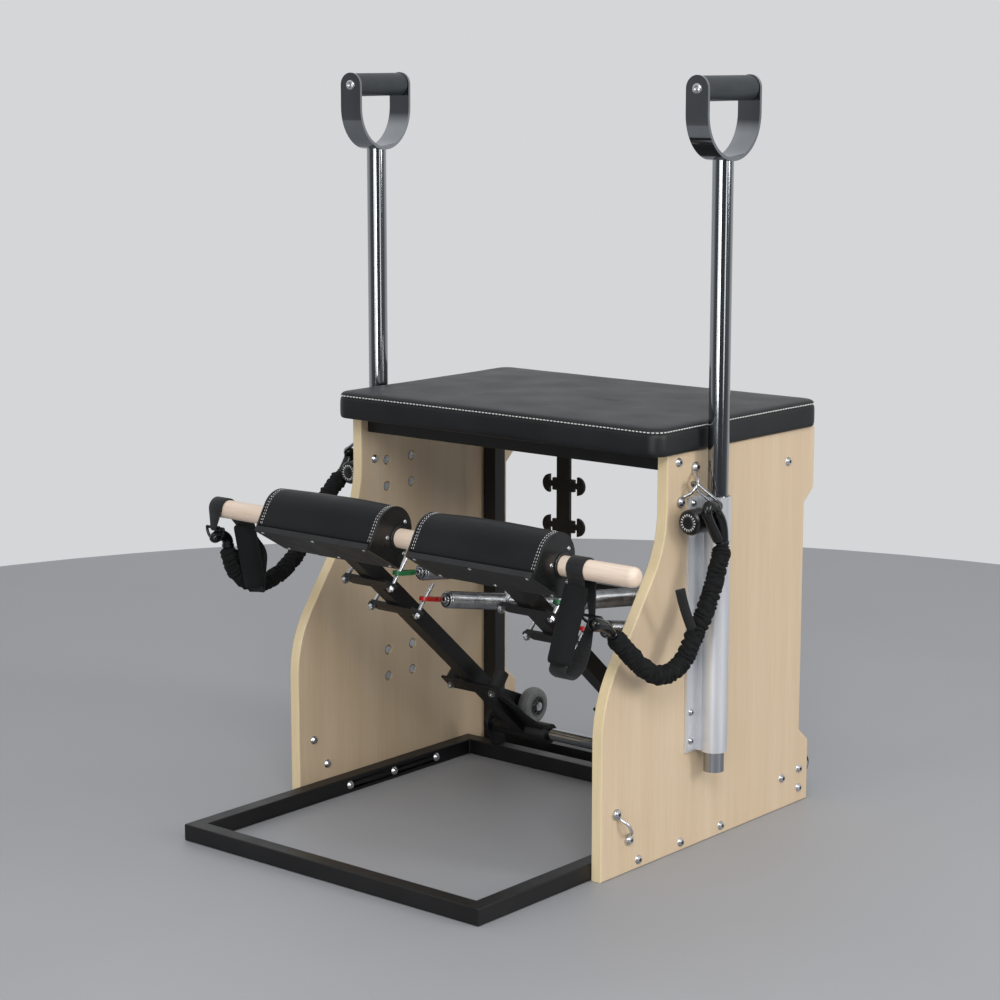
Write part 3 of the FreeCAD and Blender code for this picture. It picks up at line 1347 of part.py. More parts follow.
def upper_hook(side, joint, route):
    """Hook round the far bend of an upper link."""
    middle, way, across = link_frame(side, joint)
    end, leave = cord_end(route, 0, 1)
    bend = joint + way * (LINK_WIRE / 2)
    pull = (bend - (end + leave * FERRULE_LENGTH)).normalize()
    target = bend + pull * (LINK_WIRE / math.sqrt(2) + CHAIN_GAP + HOOK_WIRE)
    return hook(end, leave, target, pull.cross(across))


def ring_bars():
    """Middle of each strap ring's bar, on the left and on the right."""
    turn, front, back = strap_over_dowel(RIGHT_STRAP_X)
    up = (back - RIGHT_RING_CORNER).normalize()
    down = (grip_tail(RIGHT_GRIP) - RIGHT_RING_CORNER).normalize()
    inward = (up + down).normalize()
    offset = STRAP_THICKNESS / 2 + RING_WIRE_RADIUS + STRAP_GAP
    corner = offset / math.sin(up.getAngle(down) / 2)
    return LEFT_RING_EYE, RIGHT_RING_CORNER + inward * corner


def ring_apex(bar, route):
    return bar + (Vector(*route[-1]) - bar).normalize() * RING_LENGTH


def strap_ring(bar, route):
    """D-shaped wire ring: a bar held by the strap and a bow towards the cord."""
    apex = ring_apex(bar, route)
    ends = (bar - X_AXIS * RING_HALF_WIDTH, bar + X_AXIS * RING_HALF_WIDTH)
    bow = Part.Arc(ends[0], apex, ends[1])
    start_way = Vector(*bow.tangent(bow.FirstParameter)[0])
    shapes = [rod(ends[0], ends[1], RING_WIRE_RADIUS),
              swept(Part.Wire(bow.toShape()), ends[0], start_way, RING_WIRE_RADIUS)]
    shapes += [Part.makeSphere(RING_WIRE_RADIUS, end) for end in ends]
    return join(shapes)


def lower_hook(bar, route):
    apex = ring_apex(bar, route)
    end, leave = cord_end(route, -1, -2)
    pull = (apex - (end + leave * FERRULE_LENGTH)).normalize()
    target = apex + pull * (RING_WIRE_RADIUS + CHAIN_GAP + HOOK_WIRE)
    return hook(end, leave, target, pull.cross(X_AXIS))


# Assembly

for name, side, index in SIDES:
    parts[name + "_side_panel"] = side_panel(side)
    parts[name + "_pole_sleeve"] = pole_sleeve(side)
    parts[name + "_pole_liner"] = pole_liner(side)
    parts[name + "_pole"] = pole(side, HANDLE_TURNS[index])
    parts[name + "_pole_grip"] = handle_grip(side, HANDLE_TURNS[index])
    parts[name + "_clamp_knob"] = clamp_knob(side)
    parts[name + "_wheel_tyre"] = wheel_tyre(side)
    parts[name + "_wheel_hub"] = wheel_hub(side)
    parts[name + "_spring_tree"] = spring_tree(TREE_X[index])
    parts[name + "_pedal_arm"] = pedal_arm(ARM_X[index])
    parts[name + "_pedal_studs"] = pedal_studs(ARM_X[index])
    parts[name + "_pedal_bumpers"] = pedal_bumpers(ARM_X[index])
    parts[name + "_pedal_board"] = pedal_board(index)
    parts[name + "_pedal_pad"] = pedal_pad(index)
    parts[name + "_pad_end_plates"] = pad_end_plates(index)
    for row, place in ((1, "upper"), (0, "lower")):
        spring_name = name + "_" + place + "_spring"
        parts[spring_name] = coil_spring(spring_name, index, row)
        parts[spring_name + "_loop"] = spring_loop(index, row)

parts["base_frame"] = base_frame()
parts["rear_frame"] = rear_frame()
parts["seat_front_rail"] = seat_rail()
parts["seat_board"] = seat_board()
parts["seat_cushion"] = seat_cushion()
parts["pivot_shaft"] = pivot_shaft()
parts["shaft_brackets"] = shaft_brackets()
parts["wheel_brackets"] = wheel_brackets()
parts["frame_bolts"] = frame_bolts()
parts["sleeve_bolts"] = sleeve_bolts()
parts["anchor_loops"] = Part.Compound([anchor_loop(side, places) for side in (-1, 1)
                                       for places in (ANCHOR_UPPER, ANCHOR_LOWER)])
parts["dowel"] = dowel()

parts["left_strap"] = left_strap()
parts["right_strap"] = right_strap()
parts["left_foam_grip"] = foam_grip(LEFT_GRIP)
parts["right_foam_grip"] = foam_grip(RIGHT_GRIP)
routes = (LEFT_CORD, RIGHT_CORD)
for name, side, index in SIDES:
    parts[name + "_elastic_cord"] = cord(name + "_elastic_cord", routes[index])
parts["strap_rings"] = Part.Compound([strap_ring(bar, route) for bar, route in zip(ring_bars(), routes)])
parts["lower_hooks"] = Part.Compound([lower_hook(bar, route) for bar, route in zip(ring_bars(), routes)])
parts["upper_links"] = Part.Compound([upper_link(side, LINK_JOINTS[i]) for name, side, i in SIDES])
parts["upper_hooks"] = Part.Compound([upper_hook(side, LINK_JOINTS[i], routes[i]) for name, side, i in SIDES])

os.makedirs("parts", exist_ok=True)
for name, shape in parts.items():
    shape.exportStep("parts/" + name + ".step")
print(len(parts), "nodes")
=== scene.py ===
import json
import math

import bpy
from mathutils import Matrix, Vector, noise


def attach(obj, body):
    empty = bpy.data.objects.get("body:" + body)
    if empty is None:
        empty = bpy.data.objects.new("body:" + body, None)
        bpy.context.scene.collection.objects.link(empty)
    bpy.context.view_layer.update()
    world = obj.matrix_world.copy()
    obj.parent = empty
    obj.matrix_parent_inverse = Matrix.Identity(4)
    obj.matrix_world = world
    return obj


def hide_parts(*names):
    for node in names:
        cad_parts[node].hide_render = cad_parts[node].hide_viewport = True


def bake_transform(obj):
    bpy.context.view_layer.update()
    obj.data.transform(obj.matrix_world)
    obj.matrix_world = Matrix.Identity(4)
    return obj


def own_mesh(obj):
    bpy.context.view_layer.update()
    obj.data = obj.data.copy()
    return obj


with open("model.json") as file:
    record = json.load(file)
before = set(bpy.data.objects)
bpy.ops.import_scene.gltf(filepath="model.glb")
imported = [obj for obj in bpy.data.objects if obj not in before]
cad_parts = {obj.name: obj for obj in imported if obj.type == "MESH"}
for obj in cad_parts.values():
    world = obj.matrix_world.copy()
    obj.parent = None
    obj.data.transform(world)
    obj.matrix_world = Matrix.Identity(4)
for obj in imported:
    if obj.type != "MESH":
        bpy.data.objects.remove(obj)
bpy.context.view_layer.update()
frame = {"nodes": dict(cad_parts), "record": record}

nodes = frame["nodes"]
scene = bpy.context.scene
scene.view_settings.view_transform = "Standard"

MM = 0.001
X_AXIS = Vector((1, 0, 0))
Z_AXIS = Vector((0, 0, 1))
SIDES = (("left", -1, 0), ("right", 1, 1))


def mm(x, y, z):
    return Vector((x, y, z)) * MM


# Camera

CAMERA_PLACE = (2.28216, -2.35468, 1.13228)
CAMERA_DROP = 10.301
CAMERA_HEADING = 39.956
CAMERA_LENS = 88.22

camera_data = bpy.data.cameras.new("camera")
camera_data.sensor_width = 36.0
camera_data.lens = CAMERA_LENS
camera_data.clip_end = 200.0
camera = bpy.data.objects.new("camera", camera_data)
camera.location = CAMERA_PLACE
camera.rotation_euler = (math.radians(90 - CAMERA_DROP), 0, math.radians(CAMERA_HEADING))
scene.collection.objects.link(camera)
scene.camera = camera


# Sizes of the object in millimetres

PIVOT = Vector((0, 598.0, 65.0))
ARM_X = (-140.0, 162.5)
ARM_ANGLE = 41.5
LUG_DISTANCES = (395.0, 471.0)
STUD_OFFSET = 45.0
SPRING_RADIUS = 11.8
SPRING_WIRE_RADIUS = 1.7
SPRING_TURNS = 98
SPRING_CONE_TURNS = 3
SPRING_CONE_START = 4.0
SPRING_LEAD = 8.0
SPRING_LUG_HEIGHTS = (10.0, 8.0)
LOOP_REACH = 33.0
TREE_LUG_X = (-87.0, 215.5)
TREE_LUG_Y = 662.0
TREE_LUG_Z = (258.0, 324.5)
TREE_HOOK_RADIUS = 7.2

DOWEL = Vector((0, 155.0, 461.0))
PAD_TILT = 30.2
PAD_CENTRES_X = (-119.5, 175.5)
PAD_LENGTH = 221.0
PAD_WIDTH = 77.5
PAD_BACK = 24.9
PAD_BOTTOM = -30.7
PAD_SIDE_TOP = 4.0
PAD_CROWN = 2.5
PAD_UNDERSIDE = -38.7
PAD_PLATE = 3.0

SEAT_HALF_WIDTH = 308.5
SEAT_FRONT = 341.0
SEAT_BACK = 750.5
SEAT_CORNER = 22.0
SEAT_DRAW_IN = 2.6

PANEL_FACE = 301.0
BOLT_HEAD = 4.0
BOLT_PLACES = ((314.5, 12.5), (415.9, 12.5), (516.9, 12.5), (677.5, 47.6), (677.5, 536.7),
               (724.6, 52.7), (724.6, 22.3), (400.0, 570.5))
ANCHOR_BOLT_PLACES = ((437.6, 559.5), (403.7, 513.7), (260.8, 92.1), (289.9, 48.1))
ANCHOR_EYE = 3.0
SLEEVE_FACE = 305.0
SLEEVE_BOLT_HEAD = 3.2
SLEEVE_BOLTS_Y = (431.9, 488.9)
SLEEVE_BOLTS_Z = (161.0, 203.5, 467.0, 508.8)

POLE_X = 326.0
POLE_Y = 460.4
GRIP_Z = 1087.0
BOW_OUTER = 64.75
HANDLE_TURNS = (6.0, 0.0)
KNOB_Z = 489.0
KNOB_FRONT = 389.1

STRAP_WIDTH = 28.0
STRAP_THICKNESS = 2.4
STRAP_TURN_RADIUS = 15.5
RIGHT_STRAP_X = 320.0
RIGHT_GRIP = (Vector((320.0, 146.0, 439.3)), Vector((320.0, 108.0, 339.0)))
RIGHT_RING_CORNER = Vector((322.0, 178.0, 392.0))
RIGHT_STRAP_SLACK = (Vector((320.0, 165.0, 356.0)), Vector((319.5, 147.0, 325.0)),
                     Vector((319.5, 124.0, 315.0)))
LEFT_STRAP_X = -364.0
LEFT_GRIP = (Vector((-337.0, 172.0, 438.0)), Vector((-322.0, 180.0, 343.0)))
LEFT_STRAP_SLACK = Vector((-336.0, 206.0, 392.0))
LEFT_RING_EYE = Vector((-364.0, 138.5, 434.0))
GRIP_FOAM_RADIUS = 16.6
STRAP_TAIL = 12.0


# Routes of the elastic cords in metres, from the upper hook to the lower hook

CORD_RADIUS = 0.013
CORD_ROUTES = {
    "right": (
        (0.356, 0.431, 0.455), (0.355, 0.4216, 0.4223), (0.353, 0.3979, 0.366), (0.350, 0.378, 0.3405),
        (0.347, 0.3523, 0.2956), (0.343, 0.3036, 0.2852), (0.338, 0.2665, 0.3081), (0.334, 0.2334, 0.3386),
        (0.332, 0.2116, 0.3605),
    ),
    "left": (
        (-0.356, 0.4055, 0.4798), (-0.356, 0.3632, 0.4486), (-0.356, 0.3222, 0.3898),
        (-0.355, 0.287, 0.3561), (-0.355, 0.2449, 0.3372), (-0.357, 0.2076, 0.3355),
        (-0.360, 0.1675, 0.3641), (-0.363, 0.1628, 0.3993),
    ),
}


# Materials by name, made by the functions below

MATERIALS = {}
EVEN = (1, 1, 1)


def srgb(red, green, blue):
    """Linear colour from the 0 to 255 values seen in a picture."""
    values = [v / 255 for v in (red, green, blue)]
    linear = [v / 12.92 if v <= 0.04045 else ((v + 0.055) / 1.055) ** 2.4 for v in values]
    return (linear[0], linear[1], linear[2], 1.0)


def new_material(name):
    made = bpy.data.materials.new(name)
    made.use_nodes = True
    MATERIALS[name] = made
    return made.node_tree, made.node_tree.nodes["Principled BSDF"]


def placed_texture(tree, kind, stretch):
    """Texture laid out by the object's own coordinates in metres, stretched along its axes."""
    place = tree.nodes.new("ShaderNodeTexCoord")
    mapping = tree.nodes.new("ShaderNodeMapping")
    mapping.inputs["Scale"].default_value = stretch
    texture = tree.nodes.new(kind)
    tree.links.new(place.outputs["Object"], mapping.inputs["Vector"])
    tree.links.new(mapping.outputs["Vector"], texture.inputs["Vector"])
    return texture


def noise_of(tree, scale, stretch=EVEN, detail=3.0):
    texture = placed_texture(tree, "ShaderNodeTexNoise", stretch)
    texture.inputs["Scale"].default_value = scale
    texture.inputs["Detail"].default_value = detail
    return texture.outputs["Fac"]


def cells_of(tree, scale):
    texture = placed_texture(tree, "ShaderNodeTexVoronoi", EVEN)
    texture.inputs["Scale"].default_value = scale
    return texture.outputs["Distance"]


def weave_of(tree, scale, direction):
    texture = placed_texture(tree, "ShaderNodeTexWave", EVEN)
    texture.bands_direction = direction
    texture.inputs["Scale"].default_value = scale
    texture.inputs["Distortion"].default_value = 0.6
    texture.inputs["Detail"].default_value = 1.0
    return texture.outputs["Fac"]


def ramp(tree, factor, stops):
    made = tree.nodes.new("ShaderNodeValToRGB")
    elements = made.color_ramp.elements
    while len(elements) < len(stops):
        elements.new(0.5)
    for element, (position, color) in zip(elements, stops):
        element.position = position
        element.color = color
    tree.links.new(factor, made.inputs["Fac"])
    return made.outputs["Color"]


def spread(tree, factor, low, high):
    made = tree.nodes.new("ShaderNodeMapRange")
    made.inputs["From Min"].default_value = 0.3
    made.inputs["From Max"].default_value = 0.7
    made.inputs["To Min"].default_value = low
    made.inputs["To Max"].default_value = high
    tree.links.new(factor, made.inputs["Value"])
    return made.outputs["Result"]


def mixed(tree, factor, first, second, how="MIX"):
    made = tree.nodes.new("ShaderNodeMix")
    made.data_type = "RGBA"
    made.blend_type = how
    for socket, value in ((made.inputs[0], factor), (made.inputs[6], first), (made.inputs[7], second)):
        if isinstance(value, bpy.types.NodeSocket):
            tree.links.new(value, socket)
        else:
            socket.default_value = value
    return made.outputs[2]


def summed(tree, first, second, share):
    """First height plus a share of the second."""
    made = tree.nodes.new("ShaderNodeMath")
    made.operation = "MULTIPLY_ADD"
    made.inputs[1].default_value = share
    tree.links.new(second, made.inputs[0])
    tree.links.new(first, made.inputs[2])
    return made.outputs["Value"]


def bump(tree, shader, height, strength, depth):
    made = tree.nodes.new("ShaderNodeBump")
    made.inputs["Strength"].default_value = strength
    made.inputs["Distance"].default_value = depth
    tree.links.new(height, made.inputs["Height"])
    tree.links.new(made.outputs["Normal"], shader.inputs["Normal"])


def finish(name, dark, light, scale, rough, stretch=EVEN, metal=0.0, grit=None, grit_stretch=EVEN,
           gloss=0.5, coat=0.0):
    """Patchy finish: two tones and two roughnesses by a noise, and a fine grit as bump."""
    tree, shader = new_material(name)
    patches = noise_of(tree, scale, stretch)
    tones = ramp(tree, patches, ((0.35, srgb(*dark)), (0.65, srgb(*light))))
    tree.links.new(tones, shader.inputs["Base Color"])
    tree.links.new(spread(tree, patches, *rough), shader.inputs["Roughness"])
    shader.inputs["Metallic"].default_value = metal
    shader.inputs["Specular IOR Level"].default_value = gloss
    shader.inputs["Coat Weight"].default_value = coat
    if grit:
        grit_scale, strength, depth = grit
        bump(tree, shader, noise_of(tree, grit_scale, grit_stretch, 2.0), strength, depth)


def facing_x(tree):
    """1 on faces that look along X, 0 on the edges between them."""
    geometry = tree.nodes.new("ShaderNodeNewGeometry")
    parts = tree.nodes.new("ShaderNodeSeparateXYZ")
    tree.links.new(geometry.outputs["Normal"], parts.inputs["Vector"])
    size = tree.nodes.new("ShaderNodeMath")
    size.operation = "ABSOLUTE"
    tree.links.new(parts.outputs["X"], size.inputs[0])
    step = tree.nodes.new("ShaderNodeMath")
    step.operation = "GREATER_THAN"
    step.inputs[1].default_value = 0.6
    tree.links.new(size.outputs["Value"], step.inputs[0])
    return step.outputs["Value"]


def maple():
    tree, shader = new_material("maple")
    streaks = noise_of(tree, 26.0, (1, 1, 0.05), 5.0)
    pores = noise_of(tree, 420.0, (1, 1, 0.03), 2.0)
    face = ramp(tree, streaks, ((0.30, srgb(205, 182, 151)), (0.52, srgb(210, 188, 158)),
                                (0.72, srgb(215, 195, 167))))
    edge = ramp(tree, streaks, ((0.30, srgb(222, 201, 158)), (0.70, srgb(234, 216, 178))))
    color = mixed(tree, facing_x(tree), edge, face)
    flecks = ramp(tree, pores, ((0.38, (0.97, 0.96, 0.945, 1)), (0.55, (1, 1, 1, 1))))
    tree.links.new(mixed(tree, 1.0, color, flecks, "MULTIPLY"), shader.inputs["Base Color"])
    tree.links.new(spread(tree, streaks, 0.46, 0.36), shader.inputs["Roughness"])
    bump(tree, shader, pores, 0.12, 0.0002)


def dowel_wood():
    tree, shader = new_material("dowel_wood")
    streaks = noise_of(tree, 60.0, (0.04, 1, 1), 4.0)
    pores = noise_of(tree, 600.0, (0.04, 1, 1), 2.0)
    color = ramp(tree, streaks, ((0.3, srgb(222, 200, 180)), (0.7, srgb(233, 215, 198))))
    flecks = ramp(tree, pores, ((0.36, (0.94, 0.91, 0.88, 1)), (0.52, (1, 1, 1, 1))))
    tree.links.new(mixed(tree, 1.0, color, flecks, "MULTIPLY"), shader.inputs["Base Color"])
    tree.links.new(spread(tree, streaks, 0.55, 0.45), shader.inputs["Roughness"])
    bump(tree, shader, pores, 0.15, 0.0002)


def vinyl(name, gloss):
    tree, shader = new_material(name)
    patches = noise_of(tree, 14.0)
    tree.links.new(ramp(tree, patches, ((0.3, srgb(12, 13, 15)), (0.7, srgb(19, 21, 23)))),
                   shader.inputs["Base Color"])
    tree.links.new(spread(tree, patches, 0.42, 0.52), shader.inputs["Roughness"])
    grain = summed(tree, cells_of(tree, 750.0), noise_of(tree, 90.0), 0.8)
    bump(tree, shader, grain, 0.22, 0.0004)
    shader.inputs["Specular IOR Level"].default_value = gloss


def webbing():
    tree, shader = new_material("webbing")
    ribs = summed(tree, weave_of(tree, 130.0, "Y"), weave_of(tree, 210.0, "X"), 0.7)
    tree.links.new(ramp(tree, ribs, ((0.2, srgb(7, 8, 9)), (1.0, srgb(20, 21, 23)))),
                   shader.inputs["Base Color"])
    shader.inputs["Roughness"].default_value = 0.85
    shader.inputs["Sheen Weight"].default_value = 0.08
    bump(tree, shader, ribs, 0.5, 0.0006)


def cord_fabric():
    tree, shader = new_material("cord_fabric")
    threads = summed(tree, noise_of(tree, 900.0), noise_of(tree, 120.0), 0.8)
    tree.links.new(ramp(tree, threads, ((0.4, srgb(6, 7, 8)), (1.0, srgb(16, 17, 18)))),
                   shader.inputs["Base Color"])
    shader.inputs["Roughness"].default_value = 0.9
    shader.inputs["Specular IOR Level"].default_value = 0.3
    bump(tree, shader, threads, 0.35, 0.0005)


def foam():
    tree, shader = new_material("foam")
    pores = summed(tree, cells_of(tree, 900.0), noise_of(tree, 60.0), 0.6)
    tree.links.new(ramp(tree, pores, ((0.1, srgb(7, 8, 9)), (0.9, srgb(17, 19, 20)))),
                   shader.inputs["Base Color"])
    shader.inputs["Roughness"].default_value = 0.92
    shader.inputs["Specular IOR Level"].default_value = 0.3
    bump(tree, shader, pores, 0.3, 0.0005)


maple()
dowel_wood()
vinyl("vinyl", 0.45)
vinyl("pad_vinyl", 0.24)
webbing()
cord_fabric()
foam()
finish("board", (24, 25, 26), (34, 35, 36), 40.0, (0.55, 0.7), grit=(500.0, 0.2, 0.0004))
finish("powder_coat", (12, 12, 13), (19, 19, 20), 18.0, (0.4, 0.5), gloss=0.4, grit=(900.0, 0.16, 0.0003))
finish("zinc", (176, 178, 182), (214, 216, 219), 80.0, (0.2, 0.34), metal=1.0,
       grit=(1200.0, 0.05, 0.0002))
finish("spring_steel", (150, 152, 155), (178, 180, 182), 60.0, (0.16, 0.24), metal=1.0,
       grit=(1500.0, 0.05, 0.0002))
finish("chrome", (142, 146, 150), (162, 166, 170), 12.0, (0.07, 0.13), stretch=(1, 1, 0.2), metal=1.0)
finish("extrusion", (204, 207, 211), (220, 222, 226), 30.0, (0.28, 0.38), stretch=(1, 1, 0.1), metal=0.6,
       grit=(900.0, 0.1, 0.0002), grit_stretch=(1, 1, 0.01))
finish("black_plastic", (17, 18, 19), (26, 27, 28), 30.0, (0.24, 0.36), grit=(800.0, 0.06, 0.0002))
finish("red_plastic", (168, 22, 20), (196, 34, 28), 60.0, (0.25, 0.38), grit=(700.0, 0.05, 0.0002))
finish("green_plastic", (24, 92, 52), (34, 116, 66), 60.0, (0.25, 0.38), grit=(700.0, 0.05, 0.0002))
finish("grip_rubber", (20, 21, 22), (31, 32, 33), 60.0, (0.6, 0.75), grit=(1000.0, 0.3, 0.0004))
finish("handle_grip", (38, 44, 48), (47, 53, 57), 40.0, (0.38, 0.5), grit=(600.0, 0.08, 0.0003))
finish("ring_steel", (44, 45, 47), (66, 67, 69), 90.0, (0.25, 0.4), metal=1.0, grit=(900.0, 0.06, 0.0002))
finish("hub_plastic", (56, 58, 58), (74, 76, 76), 60.0, (0.3, 0.42), grit=(700.0, 0.08, 0.0002))
finish("tyre", (84, 87, 86), (103, 106, 104), 50.0, (0.5, 0.65), grit=(700.0, 0.15, 0.0003))
finish("thread", (196, 196, 194), (228, 228, 225), 700.0, (0.7, 0.85), grit=(2500.0, 0.3, 0.0002))
finish("hook_coat", (10, 11, 12), (16, 17, 18), 50.0, (0.16, 0.24), gloss=0.32, coat=0.1,
       grit=(300.0, 0.05, 0.0003))
# Dark tone of the bolt sockets: painted shade standing in for the shade inside their recesses
finish("socket", (30, 30, 31), (60, 60, 62), 600.0, (0.4, 0.55), metal=0.6)

for row in frame["record"]["subparts"]:
    for material_slot in nodes[row["node"]].material_slots:
        material_slot.material = MATERIALS[row["material_slot"]]

# Nodes whose look is finer than their slot
LOOKS = {"left_wheel_hub": "hub_plastic", "right_wheel_hub": "hub_plastic", "left_pole_grip": "handle_grip",
         "right_pole_grip": "handle_grip", "strap_rings": "ring_steel"}
for node, look in LOOKS.items():
    for material_slot in nodes[node].material_slots:
        material_slot.material = MATERIALS[look]


# Mesh helpers, in metres unless said otherwise

def piece(name, verts, faces, material, smooth=True):
    mesh = bpy.data.meshes.new(name)
    mesh.from_pydata([tuple(v) for v in verts], [], faces)
    mesh.update()
    mesh.materials.append(MATERIALS[material])
    if smooth:
        mesh.shade_smooth()
    made = bpy.data.objects.new(name, mesh)
    scene.collection.objects.link(made)
    return made


def loft(rings, capped=True):
    """Vertices and faces of a skin over rings of points, each ring closed."""
    count = len(rings[0])
    verts = [point for ring in rings for point in ring]
    faces = []
    for i in range(len(rings) - 1):
        for j in range(count):
            a = i * count + j
            b = i * count + (j + 1) % count
            faces.append((a, b, b + count, a + count))
    if capped:
        last = (len(rings) - 1) * count
        faces.append(tuple(reversed(range(count))))
        faces.append(tuple(range(last, last + count)))
    return verts, faces


def joined(shapes):
    """One list of vertices and one of faces from several (verts, faces) shapes."""
    verts, faces = [], []
    for more_verts, more_faces in shapes:
        shift = len(verts)
        verts.extend(more_verts)
        faces.extend(tuple(i + shift for i in face) for face in more_faces)
    return verts, faces


def tangents(path):
    ways = []
    for i in range(len(path)):
        before = path[max(i - 1, 0)]
        after = path[min(i + 1, len(path) - 1)]
        ways.append((after - before).normalized())
    return ways


def frames_along(path):
    """Direction, side and up at each point of a path, turned as little as possible from point to point."""
    ways = tangents(path)
    guide = Z_AXIS if abs(ways[0].z) < 0.9 else X_AXIS
    side = ways[0].cross(guide).normalized()
    result = []
    for way in ways:
        side = (side - way * side.dot(way)).normalized()
        result.append((way, side, way.cross(side).normalized()))
    return result


def tube(path, radius_at, sides):
    """Skin of round sections along a path; radius_at takes the point's index and the angle."""
    rings = []
    for i, (point, (way, side, up)) in enumerate(zip(path, frames_along(path))):
        ring = []
        for j in range(sides):
            angle = 2 * math.pi * j / sides
            ring.append(point + (side * math.cos(angle) + up * math.sin(angle)) * radius_at(i, angle))
        rings.append(ring)
    return loft(rings)


def lathe(outline, centre, axis, sides):
    """Turned shape from (radius, distance along the axis) points about an axis through the centre."""
    axis = Vector(axis).normalized()
    across = axis.cross(Z_AXIS if abs(axis.z) < 0.9 else X_AXIS).normalized()
    other = axis.cross(across)
    rings = []
    for radius, distance in outline:
        ring = []
        for j in range(sides):
            angle = 2 * math.pi * j / sides
            out = across * math.cos(angle) + other * math.sin(angle)
            ring.append(centre + axis * distance + out * radius)
        rings.append(ring)
    return loft(rings)


def in_metres(outline):
    """Outline for a turned shape, given in millimetres."""
    return [(radius * MM, distance * MM) for radius, distance in outline]


def scaled(points):
    return [p * MM for p in points]


def gentle(share):
    """Share from 0 to 1 that starts and ends gently."""
    return share * share * (3 - 2 * share)


def path_lengths(path):
    lengths = [0.0]
    for a, b in zip(path, path[1:]):
        lengths.append(lengths[-1] + (b - a).length)
    return lengths


SPLINE_STEPS = 56


def spline_points(name, route):
    """Points along the smooth line that has the route's points as its control points."""
    curve = bpy.data.curves.new(name, "CURVE")
    curve.dimensions = "3D"
    spline = curve.splines.new("NURBS")
    spline.points.add(len(route) - 1)
    for target, point in zip(spline.points, route):
        target.co = (*point, 1.0)
    spline.order_u = 3
    spline.use_endpoint_u = True
    spline.resolution_u = SPLINE_STEPS
    line = bpy.data.objects.new(name, curve)
    scene.collection.objects.link(line)
    bpy.context.view_layer.update()
    mesh = bpy.data.meshes.new_from_object(line)
    points = [v.co.copy() for v in mesh.vertices]
    bpy.data.objects.remove(line)
    bpy.data.meshes.remove(mesh)
    return points


# Elastic cords in gathered fabric

RUCHE_PITCH = 0.0086
RUCHE_DEPTH = 0.0040
RUCHE_SWELL = 0.0008
RUCHE_LUMPS = 0.0015
CORD_END_TAPER = 0.004
CORD_END_REACH = 0.006
CORD_SIDES = 36


def ruched_radius(path, seed):
    """Radius of a cord by point and angle: wandering gathers, small lumps, tapered ends."""
    lengths = path_lengths(path)
    total = lengths[-1]

    def radius(i, angle):
        s = lengths[i]
        round_x = math.cos(angle)
        round_y = math.sin(angle)
        wander = noise.noise(Vector((s * 70, round_x * 1.1 + seed, round_y * 1.1)))
        slant = 0.9 * math.sin(angle + 30.0 * noise.noise(Vector((s * 9, seed, 7.0))))
        crest = abs(math.sin(math.pi * s / RUCHE_PITCH + 2.6 * wander + slant)) ** 0.8
        lumps = noise.noise(Vector((s * 170, round_x * 1.6, round_y * 1.6 + seed)))
        depth = 0.75 + 0.8 * noise.noise(Vector((s * 45 + 9, round_x * 1.3, round_y * 1.3 + seed)))
        taper = CORD_END_TAPER * max(0.0, 1 - min(s, total - s) / CORD_END_REACH)
        return CORD_RADIUS + RUCHE_SWELL + RUCHE_LUMPS * lumps - RUCHE_DEPTH * depth * (1 - crest) - taper

    return radius


cord_paths = {}
cords = {}
for name, side, index in SIDES:
    path = spline_points(name + "_route", CORD_ROUTES[name])
    cord_paths[name] = path
    verts, faces = tube(path, ruched_radius(path, 5.0 * side), CORD_SIDES)
    cords[name] = piece(name + "_gathered_cord", verts, faces, "cord_fabric")


# Webbing tail that hangs out of the right cord's gathers

TAIL_START = 0.134
TAIL_WAY = Vector((0.005, -0.043, 0.073))
TAIL_ACROSS = Vector((0.65, 0.76, 0.0))
TAIL_BOW = Vector((0, -0.003, 0))
TAIL_WIDTH = 0.014
TAIL_THICKNESS = 0.0040
TAIL_STEPS = 12
STRAP_BEVEL = 0.001
STRAP_EDGE_SHARE = 0.35


def strap_skin(path, across, widths, thickness):
    """Flat webbing along a path, its width near the given direction, with thinner edges."""
    thick = thickness / 2
    edge = STRAP_EDGE_SHARE * thick
    rings = []
    for point, way, width in zip(path, tangents(path), widths):
        half = width / 2
        inner = half - STRAP_BEVEL
        outline = ((-half, -edge), (-inner, -thick), (inner, -thick), (half, -edge),
                   (half, edge), (inner, thick), (-inner, thick), (-half, edge))
        wide = (across - way * across.dot(way)).normalized()
        normal = way.cross(wide)
        rings.append([point + wide * u + normal * v for u, v in outline])
    return loft(rings)


right_lengths = path_lengths(cord_paths["right"])
tail_root = [p for p, s in zip(cord_paths["right"], right_lengths) if s <= TAIL_START][-1]
tail_path = [tail_root + TAIL_WAY * t + TAIL_BOW * math.sin(math.pi * t)
             for t in [k / TAIL_STEPS for k in range(TAIL_STEPS + 1)]]
tail_widths = [TAIL_WIDTH] * len(tail_path)
tail = piece("right_cord_tail", *strap_skin(tail_path, TAIL_ACROSS, tail_widths, TAIL_THICKNESS), "webbing")

for name, side, index in SIDES:
    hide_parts(name + "_elastic_cord")
    on_it = [tail] if name == "right" else []
    start, end = CORD_ROUTES[name][0], CORD_ROUTES[name][-1]
    for made in [cords[name]] + on_it:
        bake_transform(made)


# Coated hooks at the cords' ends and one gate loop: root radius, tip radius and route in millimetres

